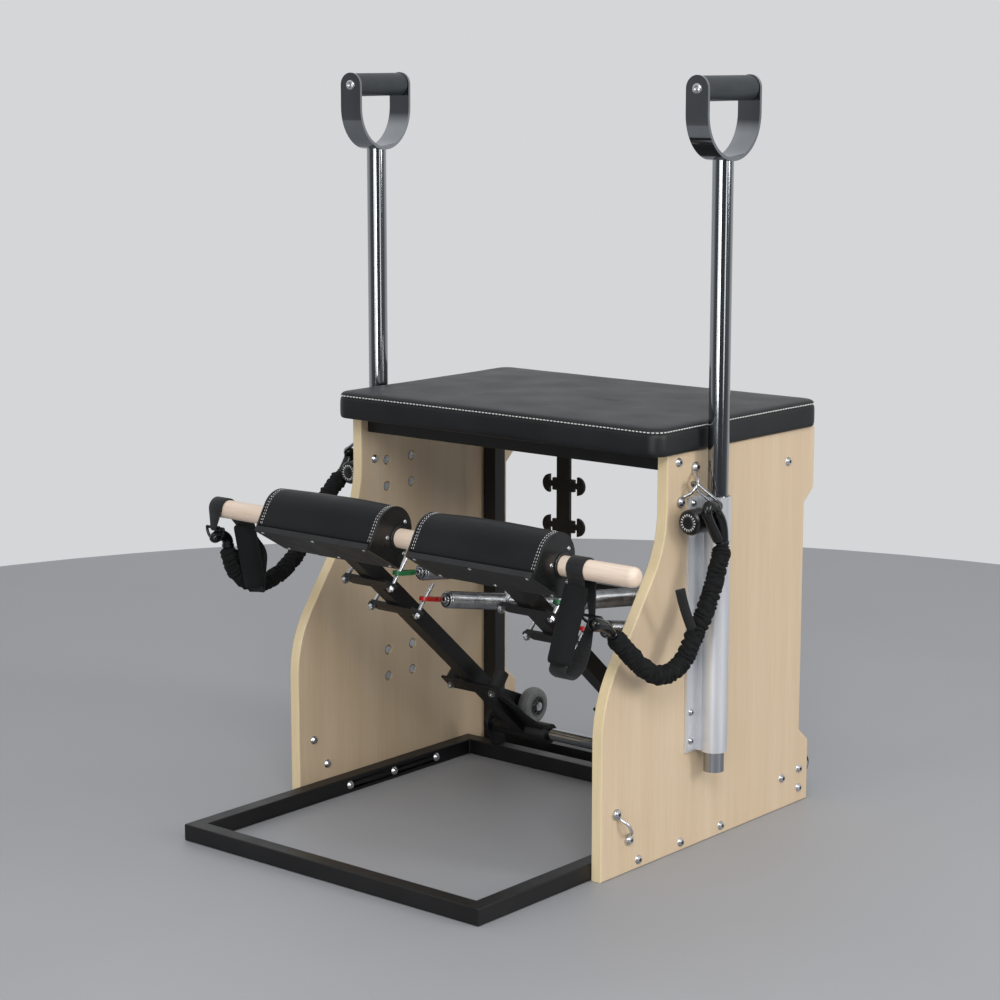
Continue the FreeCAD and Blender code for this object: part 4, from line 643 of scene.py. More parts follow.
HOOKS = {
    "upper_hooks": (
        (8.4, 8.4, ((356, 431, 453), (356.5, 430, 472), (356, 425, 492), (352, 416, 506), (347.5, 420, 512),
                    (346, 430, 510), (346, 437, 506))),
        (7.8, 7.8, ((353, 420, 505), (353.5, 402, 518), (353.5, 392, 508), (353.5, 400, 494),
                    (354, 412, 478), (355.5, 424, 459))),
        (9.0, 9.0, ((-356, 404, 478), (-355.5, 411, 487), (-355, 418, 497), (-354.5, 424, 508),
                    (-354, 421, 517), (-354, 413, 514))),
    ),
    "lower_hooks": (
        (5.8, 9.6, ((332, 212.5, 359.6), (335, 201, 369), (340, 184, 380), (343.5, 164, 387),
                    (344, 146, 390))),
        (8.4, 8.4, ((-363, 163, 398), (-363, 163.5, 408), (-363.3, 161, 415), (-363.6, 151, 421.5),
                    (-364, 139, 421.5), (-364, 131.5, 413))),
    ),
}

HOOK_SIDES = 28
HOOK_LEAST = 0.4
FERRULE_START = 3.0
FERRULE_END = 8.0
FERRULE_TAPER = 1.6
FERRULE_STEP = 0.9
GROOVE_END = 9.5
GROOVE_DEPTH = 0.7


def coated_hook(root_radius, tip_radius, route):
    """Thick smooth tube with a ferrule at its root and a round tip."""
    path = spline_points("hook_route", [Vector(point) * MM for point in route])
    lengths = path_lengths(path)
    total = lengths[-1]

    def radius_at(i, angle):
        root = lengths[i] / MM
        tip = (total - lengths[i]) / MM
        size = root_radius + (tip_radius - root_radius) * gentle(lengths[i] / total)
        if root < FERRULE_START:
            size -= FERRULE_TAPER * (1 - root / FERRULE_START)
        elif root < FERRULE_END:
            size += FERRULE_STEP
        elif root < GROOVE_END:
            size -= GROOVE_DEPTH
        if tip < size:
            size = max(HOOK_LEAST, math.sqrt(size * size - (size - tip) ** 2))
        return size * MM

    return tube(path, radius_at, HOOK_SIDES)


for node, body in (("upper_hooks", "frame"), ("lower_hooks", "left_pedal")):
    hooks = piece("coated_" + node, *joined([coated_hook(*hook) for hook in HOOKS[node]]), "hook_coat")
    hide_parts(node)
    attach(hooks, body)


# Strap handles over the dowel, in millimetres

CORNER_SHARE = 0.45
CORNER_STEPS = 6
DOWEL_TURN_STEPS = 14
GRIP_OVERLAP = 0.2
RIGHT_FRONT_EASE = 8.0
RIGHT_REAR_EASE = 13.0
RIGHT_NECK = (11.0, 64.0)
LEFT_LOOP_EASE = 6.0
LEFT_SLACK_EASE = 14.0
LEFT_NECK = (12.0, 30.0)
RING_EYE_RADIUS = 3.7
RING_EYE_LEAD = 0.3


def eased(points, reach):
    """Path through straight runs whose corners are eased over the given reach."""
    path = [points[0]]
    for before, corner, after in zip(points, points[1:], points[2:]):
        into = min(reach, CORNER_SHARE * (corner - before).length)
        out = min(reach, CORNER_SHARE * (after - corner).length)
        a = corner + (before - corner).normalized() * into
        b = corner + (after - corner).normalized() * out
        for k in range(CORNER_STEPS + 1):
            t = k / CORNER_STEPS
            path.append(a * (1 - t) ** 2 + corner * (2 * t * (1 - t)) + b * t ** 2)
    path.append(points[-1])
    return path


def over_dowel(strap_x):
    """Half turn over the dowel from front to back."""
    result = []
    for k in range(DOWEL_TURN_STEPS + 1):
        angle = math.pi * (1 - k / DOWEL_TURN_STEPS)
        result.append(Vector((strap_x, DOWEL.y + STRAP_TURN_RADIUS * math.cos(angle),
                              DOWEL.z + STRAP_TURN_RADIUS * math.sin(angle))))
    return result


def grip_tail(grip):
    return grip[1] + (grip[1] - grip[0]).normalized() * STRAP_TAIL


def into_grip(grip, end):
    """Point inside the grip, behind one of its ends."""
    return grip[end].lerp(grip[1 - end], GRIP_OVERLAP)


def widths_towards(path, place, least, reach):
    """Strap widths that fall from the full width to the least one near a place."""
    result = []
    for point in path:
        share = min(1.0, (point - place).length / reach)
        result.append((least + (STRAP_WIDTH - least) * gentle(share)) * MM)
    return result


turn = over_dowel(RIGHT_STRAP_X)
front_run = eased([into_grip(RIGHT_GRIP, 0), RIGHT_GRIP[0], turn[0]], RIGHT_FRONT_EASE)
rear_run = eased([turn[-1], RIGHT_RING_CORNER, *RIGHT_STRAP_SLACK, grip_tail(RIGHT_GRIP), RIGHT_GRIP[1],
                  into_grip(RIGHT_GRIP, 1)], RIGHT_REAR_EASE)
right_path = front_run[:-1] + turn + rear_run[1:]
right_widths = widths_towards(right_path, RIGHT_RING_CORNER, *RIGHT_NECK)
right_strap = piece("right_handle_strap",
                    *strap_skin(scaled(right_path), X_AXIS, right_widths, STRAP_THICKNESS * MM), "webbing")

turn = over_dowel(LEFT_STRAP_X)
loop_run = eased([turn[-1], LEFT_GRIP[0], into_grip(LEFT_GRIP, 0)], LEFT_LOOP_EASE)
slack_run = eased([turn[-1], LEFT_STRAP_SLACK, grip_tail(LEFT_GRIP), LEFT_GRIP[1],
                   into_grip(LEFT_GRIP, 1)], LEFT_SLACK_EASE)
eye_turn = [LEFT_RING_EYE + Vector((0, RING_EYE_RADIUS * math.cos(a), RING_EYE_RADIUS * math.sin(a)))
            for a in [math.pi * (1 + k / 8) - RING_EYE_LEAD for k in range(11)]]
left_shapes = []
for path in (eye_turn[::-1] + turn + loop_run[1:], slack_run):
    widths = widths_towards(path, LEFT_RING_EYE, *LEFT_NECK)
    left_shapes.append(strap_skin(scaled(path), X_AXIS, widths, STRAP_THICKNESS * MM))
left_strap = piece("left_handle_strap", *joined(left_shapes), "webbing")


# Share of the length and trim of the radius, from an end inwards
FOAM_END = ((0.0, 7.0), (0.0, 3.2), (0.01, 1.6), (0.03, 0.7), (0.06, 0.3))
FOAM_STEPS = 10
FOAM_TRIM = 0.25
FOAM_SIDES = 40
LEFT_KEEP = 0.75
RIGHT_KEEP = 0.6


def foam_sleeve(name, grip):
    """Foam sleeve, a little fuller at its middle, with soft ends."""
    start, end = grip[0] * MM, grip[1] * MM
    length = (end - start).length
    rows = list(FOAM_END)
    for k in range(FOAM_STEPS + 1):
        t = k / FOAM_STEPS
        rows.append((0.1 + 0.8 * t, FOAM_TRIM - FOAM_TRIM * math.sin(math.pi * t)))
    rows += [(1 - share, trim) for share, trim in reversed(FOAM_END)]
    outline = [((GRIP_FOAM_RADIUS - trim) * MM, share * length) for share, trim in rows]
    return piece(name, *lathe(outline, start, end - start, FOAM_SIDES), "foam")


for name, strap, grip, keep in (("left", left_strap, LEFT_GRIP, LEFT_KEEP),
                                ("right", right_strap, RIGHT_GRIP, RIGHT_KEEP)):
    sleeve = foam_sleeve(name + "_foam_sleeve", grip)
    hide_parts(name + "_strap")
    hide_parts(name + "_foam_grip")
    for made in (strap, sleeve):
        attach(made, "left_pedal")
        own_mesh(made)


# Coil springs between the pedal studs and the trees

COIL_STEPS = 20
COIL_SIDES = 8
TREE_HOOK_STEPS = 10


def arm_point(arm_x, distance, height):
    a = math.radians(ARM_ANGLE)
    return Vector((arm_x, PIVOT.y - distance * math.cos(a) + height * math.sin(a),
                   PIVOT.z + distance * math.sin(a) + height * math.cos(a)))


def spring_line(index, row):
    """First coil point, axis, up direction, last point above the tree's lug, and the lug."""
    stud = arm_point(ARM_X[index] + STUD_OFFSET, LUG_DISTANCES[row], SPRING_LUG_HEIGHTS[row])
    lug = Vector((TREE_LUG_X[index], TREE_LUG_Y, TREE_LUG_Z[row]))
    end = lug + Z_AXIS * TREE_HOOK_RADIUS
    for _ in range(4):
        axis = (end - stud).normalized()
        up = axis.cross(X_AXIS).normalized()
        up = up if up.z > 0 else -up
        end = lug + up * TREE_HOOK_RADIUS
    return stud + axis * LOOP_REACH, axis, up, end, lug


def coil_path(first, axis, up, end, lug):
    """Line of the wire: lead, opening cone, close coil, closing cone, lead, hook over the lug."""
    side = axis.cross(up).normalized()
    length = (end - first).length
    points = [first, first + axis * (0.5 * SPRING_LEAD)]
    body = length - 2 * SPRING_LEAD
    for k in range(SPRING_TURNS * COIL_STEPS + 1):
        turn = k / COIL_STEPS
        from_end = min(turn, SPRING_TURNS - turn)
        grow = gentle(min(1.0, from_end / SPRING_CONE_TURNS))
        radius = SPRING_CONE_START + (SPRING_RADIUS - SPRING_CONE_START) * grow
        angle = 2 * math.pi * turn
        points.append(first + axis * (SPRING_LEAD + body * turn / SPRING_TURNS)
                      + (up * math.cos(angle) + side * math.sin(angle)) * radius)
    points.append(end - axis * (0.5 * SPRING_LEAD))
    points.append(end)
    for k in range(1, TREE_HOOK_STEPS + 1):
        angle = math.pi * k / TREE_HOOK_STEPS
        points.append(lug + (up * math.cos(angle) + axis * math.sin(angle)) * TREE_HOOK_RADIUS)
    return points


for name, side, index in SIDES:
    for row, place in ((1, "upper"), (0, "lower")):
        first, axis, up, end, lug = spring_line(index, row)
        path = scaled(coil_path(first, axis, up, end, lug))
        verts, faces = tube(path, lambda i, angle: SPRING_WIRE_RADIUS * MM, COIL_SIDES)
        coil = piece(name + "_" + place + "_coil", verts, faces, "spring_steel")
        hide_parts(name + "_" + place + "_spring")
        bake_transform(coil)


# Stitches as small raised threads: pitch, length and radius in metres

SEAT_STITCH = (0.0064, 0.0048, 0.0010)
PAD_STITCH = (0.0046, 0.0030, 0.00045)
STITCH_SIDES = 6
# Place along a stitch, width and lift, as shares of its length and radius
STITCH_SECTIONS = ((-0.5, 0.35, -0.5), (-0.3, 0.9, 0.35), (0.3, 0.9, 0.35), (0.5, 0.35, -0.5))


def stitch_run(path, normals, pitch, length, radius):
    """Shapes of stitches laid along a path of points with surface normals."""
    lengths = path_lengths(path)
    shapes = []
    count = int(lengths[-1] / pitch)
    i = 0
    for k in range(count):
        target = (k + 0.5) * lengths[-1] / count
        while i < len(path) - 2 and lengths[i + 1] < target:
            i += 1
        run = max(lengths[i + 1] - lengths[i], 1e-9)
        middle = path[i].lerp(path[i + 1], (target - lengths[i]) / run)
        way = (path[i + 1] - path[i]).normalized()
        normal = normals[i]
        across = way.cross(normal).normalized()
        rings = []
        for along, wide, lift in STITCH_SECTIONS:
            centre = middle + way * (along * length) + normal * (lift * radius)
            rings.append([centre + (across * math.cos(a) + normal * math.sin(a)) * (wide * radius)
                          for a in [2 * math.pi * j / STITCH_SIDES for j in range(STITCH_SIDES)]])
        shapes.append(loft(rings))
    return shapes


# Seat cushion: box sides that draw in between the corners, sewn top edge, low crown

# Height and inset of each ring, from the board up
SEAT_PROFILE = ((583.4, 4.2), (583.8, 2.4), (585.5, 0.9), (589.0, 0.2), (594.0, 0.0), (600.0, 0.0),
                (606.5, 0.1), (611.5, 0.4), (614.0, 0.8), (615.3, 1.7), (616.1, 2.4), (616.9, 1.7),
                (618.2, 1.2), (620.0, 1.6), (621.9, 3.0), (623.3, 5.6), (624.2, 10.0), (624.8, 20.0),
                (625.3, 40.0), (625.8, 70.0), (626.2, 110.0), (626.4, 150.0), (626.4, 185.0))
SEAT_STITCH_RING = 12
SEAT_LONG_STEPS = 60
SEAT_SHORT_STEPS = 40
SEAT_CORNER_STEPS = 10
SEAT_CORNER_SHRINK = 0.6
SEAT_CORNER_LEAST = 4.0
SEAT_DRAW_REACH = 60.0
SEAT_TOP_REACH = 30.0
SEAT_WAVES = 0.8
SEAT_WAVES_ABOVE = 586.0


def seat_ring(inset, z):
    """Points and outward directions round a rounded rectangle whose sides are drawn in."""
    half_x = SEAT_HALF_WIDTH - inset
    half_y = (SEAT_BACK - SEAT_FRONT) / 2 - inset
    radius = max(SEAT_CORNER - SEAT_CORNER_SHRINK * inset, SEAT_CORNER_LEAST)
    middle_y = (SEAT_FRONT + SEAT_BACK) / 2
    share = max(0.0, 1 - inset / SEAT_DRAW_REACH)
    points, outs = [], []
    corners = ((1, 1, 0.0), (-1, 1, 90.0), (-1, -1, 180.0), (1, -1, 270.0))
    for k, (sx, sy, start) in enumerate(corners):
        centre = Vector((sx * (half_x - radius), middle_y + sy * (half_y - radius), z))
        for j in range(SEAT_CORNER_STEPS):
            angle = math.radians(start + 90.0 * j / SEAT_CORNER_STEPS)
            out = Vector((math.cos(angle), math.sin(angle), 0))
            points.append(centre + out * radius)
            outs.append(out)
        angle = math.radians(start + 90.0)
        out = Vector((math.cos(angle), math.sin(angle), 0))
        nx, ny, _ = corners[(k + 1) % 4]
        next_centre = Vector((nx * (half_x - radius), middle_y + ny * (half_y - radius), z))
        steps = SEAT_LONG_STEPS if k % 2 == 0 else SEAT_SHORT_STEPS
        for j in range(steps):
            t = j / steps
            draw = SEAT_DRAW_IN * share * math.sin(math.pi * t) ** 1.2
            points.append(centre.lerp(next_centre, t) + out * (radius - draw))
            outs.append(out)
    return points, outs


def rumpled(point, amount):
    """Small waves of stretched vinyl, in millimetres."""
    slow = noise.noise(point * 0.016)
    fast = noise.noise(point * 0.06 + Vector((4, 7, 1)))
    return (0.75 * slow + 0.25 * fast) * amount


seat_rings = []
for z, inset in SEAT_PROFILE:
    points, outs = seat_ring(inset, z)
    top = min(1.0, inset / SEAT_TOP_REACH)
    amount = SEAT_WAVES if z > SEAT_WAVES_ABOVE else 0.0
    ring = []
    for point, out in zip(points, outs):
        wave = rumpled(point, amount)
        ring.append(point + out * (wave * (1 - top)) + Z_AXIS * (wave * top))
    seat_rings.append(ring)
verts, faces = loft([scaled(ring) for ring in seat_rings])
seat = piece("seat_cushion_cover", verts, faces, "vinyl")
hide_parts("seat_cushion")
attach(seat, "frame")

stitch_z, stitch_inset = SEAT_PROFILE[SEAT_STITCH_RING]
outs = seat_ring(stitch_inset, stitch_z)[1]
stitch_path = scaled(seat_rings[SEAT_STITCH_RING])
verts, faces = joined(stitch_run(stitch_path + stitch_path[:1], outs + outs[:1], *SEAT_STITCH))
seat_thread = piece("seat_stitching", verts, faces, "thread")
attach(seat_thread, "frame")


# Pedal pads: vinyl rolls on a board, sewn near both ends

PAD_SEAMS = (2.0, 5.6)
PAD_RING_STEPS = 28
PAD_SIDE_STEPS = 9
PAD_TUCK = 1.6
PAD_TUCK_STEPS = 1.5
PAD_NEAR_END = (0.0, 0.5, 1.2, 1.6, 2.0, 2.4, 3.0, 3.8, 4.6, 5.2, 5.6, 6.0, 6.6, 7.6, 9.5, 12.0, 16.0, 22.0,
                30.0)
PAD_MIDDLE_START = 40.0
PAD_MIDDLE_STEPS = 14
PAD_WAVES = 0.8
PAD_SHRINK = 0.3
PAD_SOFT_HEIGHT = 6.0
SEAM_PULL = 0.7
SEAM_REACH = 0.8
END_PULL = 0.9


def on_pad(x, u, v):
    """Point given in the pad's own frame, dowel at the origin, v square to the board."""
    tilt = math.radians(PAD_TILT)
    return Vector((x, DOWEL.y + u * math.cos(tilt) + v * math.sin(tilt),
                   DOWEL.z - u * math.sin(tilt) + v * math.cos(tilt)))


def pad_outline(shrink):
    """(u, v) points and outward directions round a tombstone-shaped section."""
    centre = PAD_BACK - PAD_WIDTH / 2
    radius = PAD_WIDTH / 2 - shrink
    points, outs = [], []
    for k in range(PAD_SIDE_STEPS):
        v = PAD_BOTTOM + (PAD_SIDE_TOP - PAD_BOTTOM) * k / PAD_SIDE_STEPS
        tuck = PAD_TUCK * max(0.0, 1 - k / PAD_TUCK_STEPS)
        points.append((centre + radius - tuck, v))
        outs.append((1.0, 0.0))
    for k in range(PAD_RING_STEPS + 1):
        angle = math.pi * k / PAD_RING_STEPS
        points.append((centre + radius * math.cos(angle), PAD_SIDE_TOP + radius * math.sin(angle)))
        outs.append((math.cos(angle), math.sin(angle)))
    for k in range(1, PAD_SIDE_STEPS + 1):
        v = PAD_SIDE_TOP + (PAD_BOTTOM - PAD_SIDE_TOP) * k / PAD_SIDE_STEPS
        tuck = PAD_TUCK * max(0.0, 1 - (PAD_SIDE_STEPS - k) / PAD_TUCK_STEPS)
        points.append((centre - radius + tuck, v))
        outs.append((-1.0, 0.0))
    return points, outs


def pad_stations():
    """Places along the pad in millimetres, closer together at the seams and ends."""
    run = PAD_LENGTH - 2 * PAD_MIDDLE_START
    middle = [PAD_MIDDLE_START + run * k / PAD_MIDDLE_STEPS for k in range(PAD_MIDDLE_STEPS + 1)]
    return sorted([*PAD_NEAR_END, *middle, *(PAD_LENGTH - s for s in PAD_NEAR_END)])


def seam_depth(distance):
    """How far the sewing pulls the cover in at a distance from the pad's end."""
    from_end = min(distance, PAD_LENGTH - distance)
    pull = sum(SEAM_PULL * math.exp(-((from_end - seam) / SEAM_REACH) ** 2) for seam in PAD_SEAMS)
    return pull + END_PULL * math.exp(-from_end / SEAM_REACH)


def pad_crown(distance):
    return PAD_CROWN * (2 * distance / PAD_LENGTH - 1) ** 2


# Radius and height of a screw head's outline, as shares of its radius
SCREW_HEAD = ((1.0, -0.1), (1.0, 0.06), (0.91, 0.26), (0.65, 0.44), (0.35, 0.5), (0.28, 0.34))
SCREW_SIDES = 16


def screw_head(centre, axis, radius):
    outline = [(r * radius * MM, h * radius * MM) for r, h in SCREW_HEAD]
    return lathe(outline, centre, axis, SCREW_SIDES)


BOARD_SCREW_RADIUS = 3.0
BOARD_SCREW_COLUMNS = (-100.0, 0.0, 100.0)
BOARD_SCREW_ROWS = (-45.0, 17.0)
PLATE_SCREW_RADIUS = 3.2
PLATE_SCREW_ANGLES = (90.0, 201.0, 321.0)
PLATE_SCREW_CIRCLE = 25.0
COLLAR = ((14.3, 0.0), (18.0, 0.0), (18.0, 1.0), (17.2, 2.0), (15.6, 2.3), (14.3, 2.2))
COLLAR_SIDES = 40
DOWN_PAD = (on_pad(0, 0, -1) - on_pad(0, 0, 0)).normalized()

for name, side, index in SIDES:
    low = PAD_CENTRES_X[index] - PAD_LENGTH / 2
    rings = []
    for distance in pad_stations():
        points, outs = pad_outline(pad_crown(distance))
        x = low + distance
        ring = []
        for (u, v), (ou, ov) in zip(points, outs):
            soft = min(1.0, (v - PAD_BOTTOM) / PAD_SOFT_HEIGHT)
            move = soft * (rumpled(Vector((x, u, v)), PAD_WAVES) - seam_depth(distance) - PAD_SHRINK)
            ring.append(on_pad(x, min(u + ou * move, PAD_BACK), v + ov * move) * MM)
        rings.append(ring)
    roll = piece(name + "_pedal_roll", *loft(rings), "pad_vinyl")
    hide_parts(name + "_pedal_pad")
    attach(roll, name + "_pedal")

    # Double row of stitches at both ends
    shapes = []
    for seam in PAD_SEAMS:
        for distance in (seam, PAD_LENGTH - seam):
            points, outs = pad_outline(pad_crown(distance) + SEAM_PULL)
            path = [on_pad(low + distance, u, v) * MM for u, v in points]
            normals = [on_pad(0, ou, ov) - on_pad(0, 0, 0) for ou, ov in outs]
            shapes += stitch_run(path[1:-1], normals[1:-1], *PAD_STITCH)
    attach(piece(name + "_pedal_stitching", *joined(shapes), "thread"), name + "_pedal")

    # Screws and dowel collars on the end plates, screws under the board
    screws, collars = [], []
    for end in (-1, 1):
        face = PAD_CENTRES_X[index] + end * (PAD_LENGTH / 2 + PAD_PLATE)
        for angle in PLATE_SCREW_ANGLES:
            u = PLATE_SCREW_CIRCLE * math.cos(math.radians(angle))
            v = PLATE_SCREW_CIRCLE * math.sin(math.radians(angle))
            screws.append(screw_head(on_pad(face, u, v) * MM, X_AXIS * end, PLATE_SCREW_RADIUS))
        collars.append(lathe(in_metres(COLLAR), on_pad(face, 0, 0) * MM, X_AXIS * end, COLLAR_SIDES))
    for column in BOARD_SCREW_COLUMNS:
        for row in BOARD_SCREW_ROWS:
            place = on_pad(PAD_CENTRES_X[index] + column, row, PAD_UNDERSIDE) * MM
            screws.append(screw_head(place, DOWN_PAD, BOARD_SCREW_RADIUS))
    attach(piece(name + "_pad_screws", *joined(screws), "zinc"), name + "_pedal")
    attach(piece(name + "_dowel_collars", *joined(collars), "black_plastic"), name + "_pedal")


# Dark hexagons on the bolt heads: painted shade standing in for the shade inside the sockets' recesses, in
# metres

SOCKET_RADIUS = 0.0024
SLEEVE_SOCKET_RADIUS = 0.0019
SOCKET_DEPTH = 0.0002


def hexagon(centre, axis, radius, depth):
    outline = [(radius, -depth), (radius, depth * 0.5), (radius * 0.75, depth * 0.1)]
    return lathe(outline, centre, axis, 6)


shapes = []
for side in (-1, 1):
    axis = X_AXIS * side
    for places, face in ((BOLT_PLACES, PANEL_FACE + BOLT_HEAD),
                         (ANCHOR_BOLT_PLACES, PANEL_FACE + ANCHOR_EYE + BOLT_HEAD)):
        for y, z in places:
            shapes.append(hexagon(mm(side * face, y, z), axis, SOCKET_RADIUS, SOCKET_DEPTH))
    for y in SLEEVE_BOLTS_Y:
        for z in SLEEVE_BOLTS_Z:
            face = SLEEVE_FACE + SLEEVE_BOLT_HEAD
            shapes.append(hexagon(mm(side * face, y, z), axis, SLEEVE_SOCKET_RADIUS, SOCKET_DEPTH))
sockets = piece("bolt_socket_painted_shade", *joined(shapes), "socket", smooth=False)
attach(sockets, "frame")


# Screw heads on the ends of the handle bows, centre caps and ticks on the knobs

BOW_SCREW = ((7.5, -0.3), (7.5, 0.8), (7.0, 1.6), (5.2, 2.8), (3.2, 3.3), (2.6, 3.3), (2.5, 1.6))
BOW_SCREW_SIDES = 24
KNOB_CAP = ((14.6, -0.2), (14.6, 0.5), (13.9, 0.9), (13.2, 0.5), (12.9, 0.15), (8.6, 0.15), (8.2, 0.7),
            (7.4, 0.9), (0.5, 1.0))
KNOB_CAP_SIDES = 48
TICKS = 18
TICK_INNER = 9.2
TICK_OUTER = 12.5
TICK_WIDTH = 1.7
TICK_LIFT = 0.2
# Place across a tick as a share of its width, and height in millimetres
TICK_SECTION = ((-0.5, 0.0), (-0.4, 0.4), (0.4, 0.4), (0.5, 0.0))

for name, side, index in SIDES:
    turn = Matrix.Rotation(math.radians(HANDLE_TURNS[index]), 3, "Z")
    shapes = []
    for end in (-1, 1):
        axis = turn @ Vector((0, end, 0))
        centre = mm(side * POLE_X, POLE_Y, GRIP_Z) + axis * (BOW_OUTER * MM)
        shapes.append(lathe(in_metres(BOW_SCREW), centre, axis, BOW_SCREW_SIDES))
    screws = piece(name + "_bow_screws", *joined(shapes), "zinc")
    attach(screws, name + "_pole")
    knob_face = mm(side * POLE_X, KNOB_FRONT, KNOB_Z)
    tick_face = knob_face - Vector((0, TICK_LIFT * MM, 0))
    ticks = []
    for k in range(TICKS):
        angle = 2 * math.pi * k / TICKS
        out = Vector((math.cos(angle), 0, math.sin(angle)))
        along = Vector((-math.sin(angle), 0, math.cos(angle)))
        rings = []
        for r in (TICK_INNER, TICK_OUTER):
            middle = tick_face + out * (r * MM)
            rings.append([middle + along * (share * TICK_WIDTH * MM) + Vector((0, -height * MM, 0))
                          for share, height in TICK_SECTION])
        ticks.append(loft(rings))
    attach(piece(name + "_knob_ticks", *joined(ticks), "thread"), name + "_knob")
    cap = piece(name + "_knob_cap", *lathe(in_metres(KNOB_CAP), knob_face, (0, -1, 0), KNOB_CAP_SIDES),
                "black_plastic")
    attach(cap, name + "_knob")


# Six-pointed stars and round covers on the wheels' inner faces

WHEEL_X = 250.0
WHEEL_CENTRE = (767.0, 47.0)
STAR_POINTS = 6
STAR_INNER = 9.5
STAR_OUTER = 16.6
STAR_WALL = 1.8
# Share of the wall's width and depth inside the tyre's face
STAR_SECTION = ((-0.6, 3.2), (-0.6, 1.0), (-0.2, 0.5), (0.2, 0.5), (0.6, 1.0), (0.6, 3.2))
WHEEL_COVER = ((18.2, -3.6), (18.2, -1.2), (17.4, -1.2), (17.0, -2.8), (7.0, -2.8), (6.4, -1.0), (5.2, -1.0))
WHEEL_COVER_SIDES = 48


def star_ring(side, radius_share, depth):
    """Closed ring of a six-pointed star about the wheel's axle, at a depth inside the tyre's face."""
    ring = []
    for k in range(2 * STAR_POINTS):
        angle = math.pi * k / STAR_POINTS
        radius = (STAR_OUTER if k % 2 == 0 else STAR_INNER) + radius_share * STAR_WALL
        ring.append(mm(side * (WHEEL_X + depth), WHEEL_CENTRE[0] + radius * math.cos(angle),
                       WHEEL_CENTRE[1] + radius * math.sin(angle)))
    return ring


for name, side, index in SIDES:
    rings = [star_ring(side, share, depth) for share, depth in STAR_SECTION]
    star = piece(name + "_wheel_star", *loft(rings + rings[:1], capped=False), "hub_plastic", smooth=False)
    centre = mm(side * WHEEL_X, *WHEEL_CENTRE)
    verts, faces = lathe(in_metres(WHEEL_COVER), centre, (-side, 0, 0), WHEEL_COVER_SIDES)
    plate = piece(name + "_wheel_cover", verts, faces, "black_plastic")
    for made in (star, plate):
        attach(made, name + "_wheel")


# Softened edges on the plain solids: node, width in metres, steps

WELD_REACH = 0.00002
SHARP_ANGLE = 40.0
SOFTENED = (
    ("base_frame", 0.0024, 3), ("rear_frame", 0.0024, 3), ("seat_front_rail", 0.002, 3),
    ("left_pedal_arm", 0.0014, 2), ("right_pedal_arm", 0.0014, 2), ("upper_links", 0.0019, 3),
    ("seat_board", 0.0015, 2), ("left_spring_tree", 0.0008, 2), ("right_spring_tree", 0.0008, 2),
    ("shaft_brackets", 0.001, 2), ("wheel_brackets", 0.001, 2), ("frame_bolts", 0.0009, 2),
)


def soften(node, width, segments):
    made = nodes[node]
    weld = made.modifiers.new("weld", "WELD")
    weld.merge_threshold = WELD_REACH
    edge = made.modifiers.new("edge", "BEVEL")
    edge.width = width
    edge.segments = segments
    edge.limit_method = "ANGLE"
    edge.angle_limit = math.radians(SHARP_ANGLE)
    edge.harden_normals = True


for node, width, segments in SOFTENED:
    soften(node, width, segments)


# Floor

FLOOR_RADIUS = 2.15
FLOOR_Y = 0.4
FLOOR_SIDES = 96


def disc(name, radius, z, material):
    points = [Vector((radius * math.cos(a), FLOOR_Y + radius * math.sin(a), z))
              for a in [2 * math.pi * j / FLOOR_SIDES for j in range(FLOOR_SIDES)]]
    return piece(name, points, [tuple(range(FLOOR_SIDES))], material, smooth=False)


finish("floor", (152, 153, 156), (158, 159, 162), 1.2, (0.5, 0.6), grit=(60.0, 0.05, 0.0005))
disc("floor", FLOOR_RADIUS, -0.0004, "floor")


# Studio round the object: pale walls, a bright ceiling and a grey wall on the camera's side

TOWARDS_CAMERA = (0.695, -0.719, 0.0)
WALL_TONES = ((0.36, srgb(213, 214, 216)), (0.50, srgb(150, 151, 153)), (0.57, srgb(112, 113, 115)),
              (0.95, srgb(84, 85, 87)))
CEILING_TONE = srgb(222, 223, 225)
CEILING_FROM = 0.25
CEILING_TO = 0.7


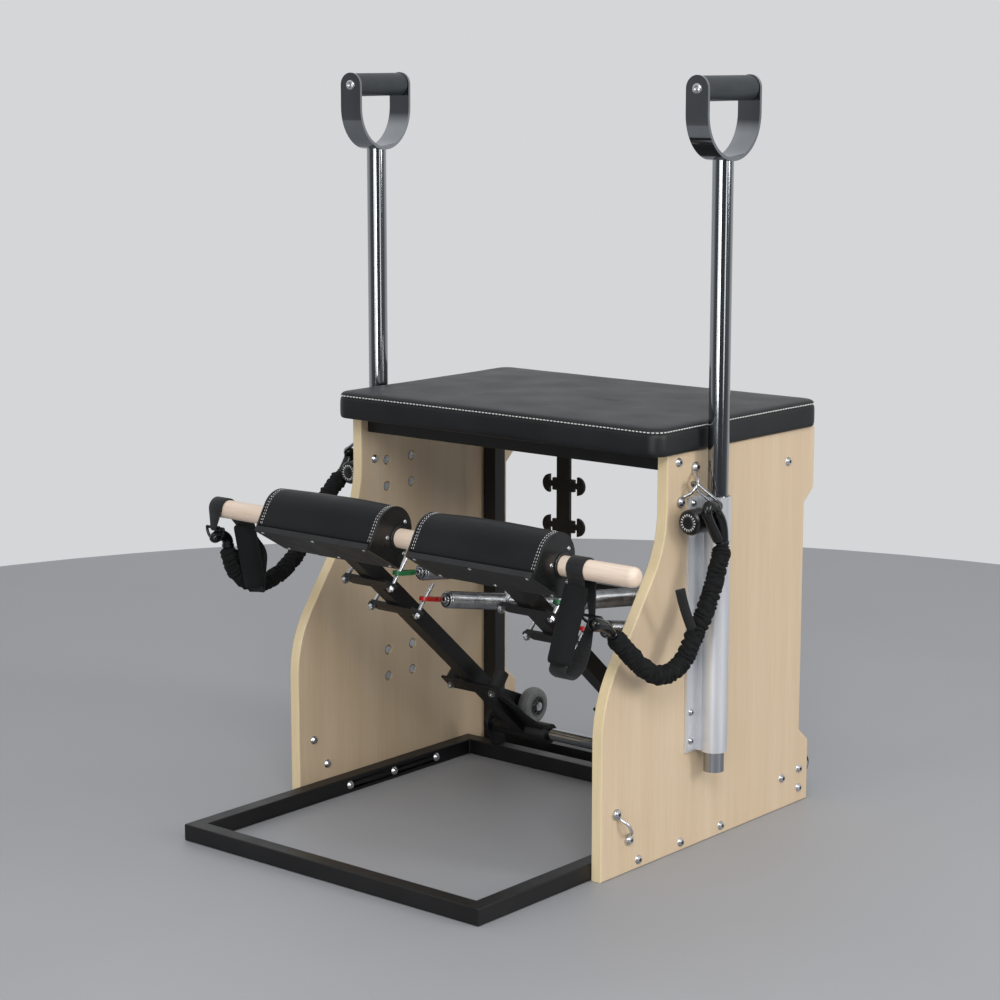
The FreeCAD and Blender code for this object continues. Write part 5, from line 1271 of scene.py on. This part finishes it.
def studio_world():
    world = bpy.data.worlds.new("studio")
    scene.world = world
    world.use_nodes = True
    tree = world.node_tree
    background = tree.nodes["Background"]
    background.inputs["Strength"].default_value = 1.0
    place = tree.nodes.new("ShaderNodeTexCoord")
    parts = tree.nodes.new("ShaderNodeSeparateXYZ")
    tree.links.new(place.outputs["Generated"], parts.inputs["Vector"])
    towards = tree.nodes.new("ShaderNodeVectorMath")
    towards.operation = "DOT_PRODUCT"
    towards.inputs[1].default_value = TOWARDS_CAMERA
    tree.links.new(place.outputs["Generated"], towards.inputs[0])
    away = tree.nodes.new("ShaderNodeMapRange")
    away.inputs["From Min"].default_value = -1.0
    tree.links.new(towards.outputs["Value"], away.inputs["Value"])
    walls = ramp(tree, away.outputs["Result"], WALL_TONES)
    above = tree.nodes.new("ShaderNodeMapRange")
    above.inputs["From Min"].default_value = CEILING_FROM
    above.inputs["From Max"].default_value = CEILING_TO
    tree.links.new(parts.outputs["Z"], above.inputs["Value"])
    color = mixed(tree, above.outputs["Result"], walls, CEILING_TONE)
    tree.links.new(color, background.inputs["Color"])


def soft_light(name, place, target, width, height, power):
    lamp = bpy.data.lights.new(name, "AREA")
    lamp.shape = "RECTANGLE"
    lamp.size = width
    lamp.size_y = height
    lamp.energy = power
    made = bpy.data.objects.new(name, lamp)
    made.location = place
    made.rotation_euler = (Vector(target) - Vector(place)).to_track_quat("-Z", "Y").to_euler()
    scene.collection.objects.link(made)


# Name, place, target, width, height and power of each lamp
LAMPS = (
    ("window", (3.6, 1.3, 1.5), (0.0, 0.4, 0.4), 1.0, 1.4, 46.0),
    ("fill", (2.6, -2.3, 2.9), (0.0, 0.4, 0.4), 1.6, 1.6, 72.0),
    ("low_fill", (1.3, -2.7, 0.6), (-0.3, 0.45, 0.35), 1.0, 0.8, 19.0),
    ("front_strip", (0.3, -3.6, 1.3), (0.0, 0.4, 0.6), 0.7, 2.4, 16.0),
    ("right_strip", (3.9, -0.4, 1.3), (0.0, 0.4, 0.6), 0.7, 2.4, 12.0),
)

studio_world()
for lamp in LAMPS:
    soft_light(*lamp)
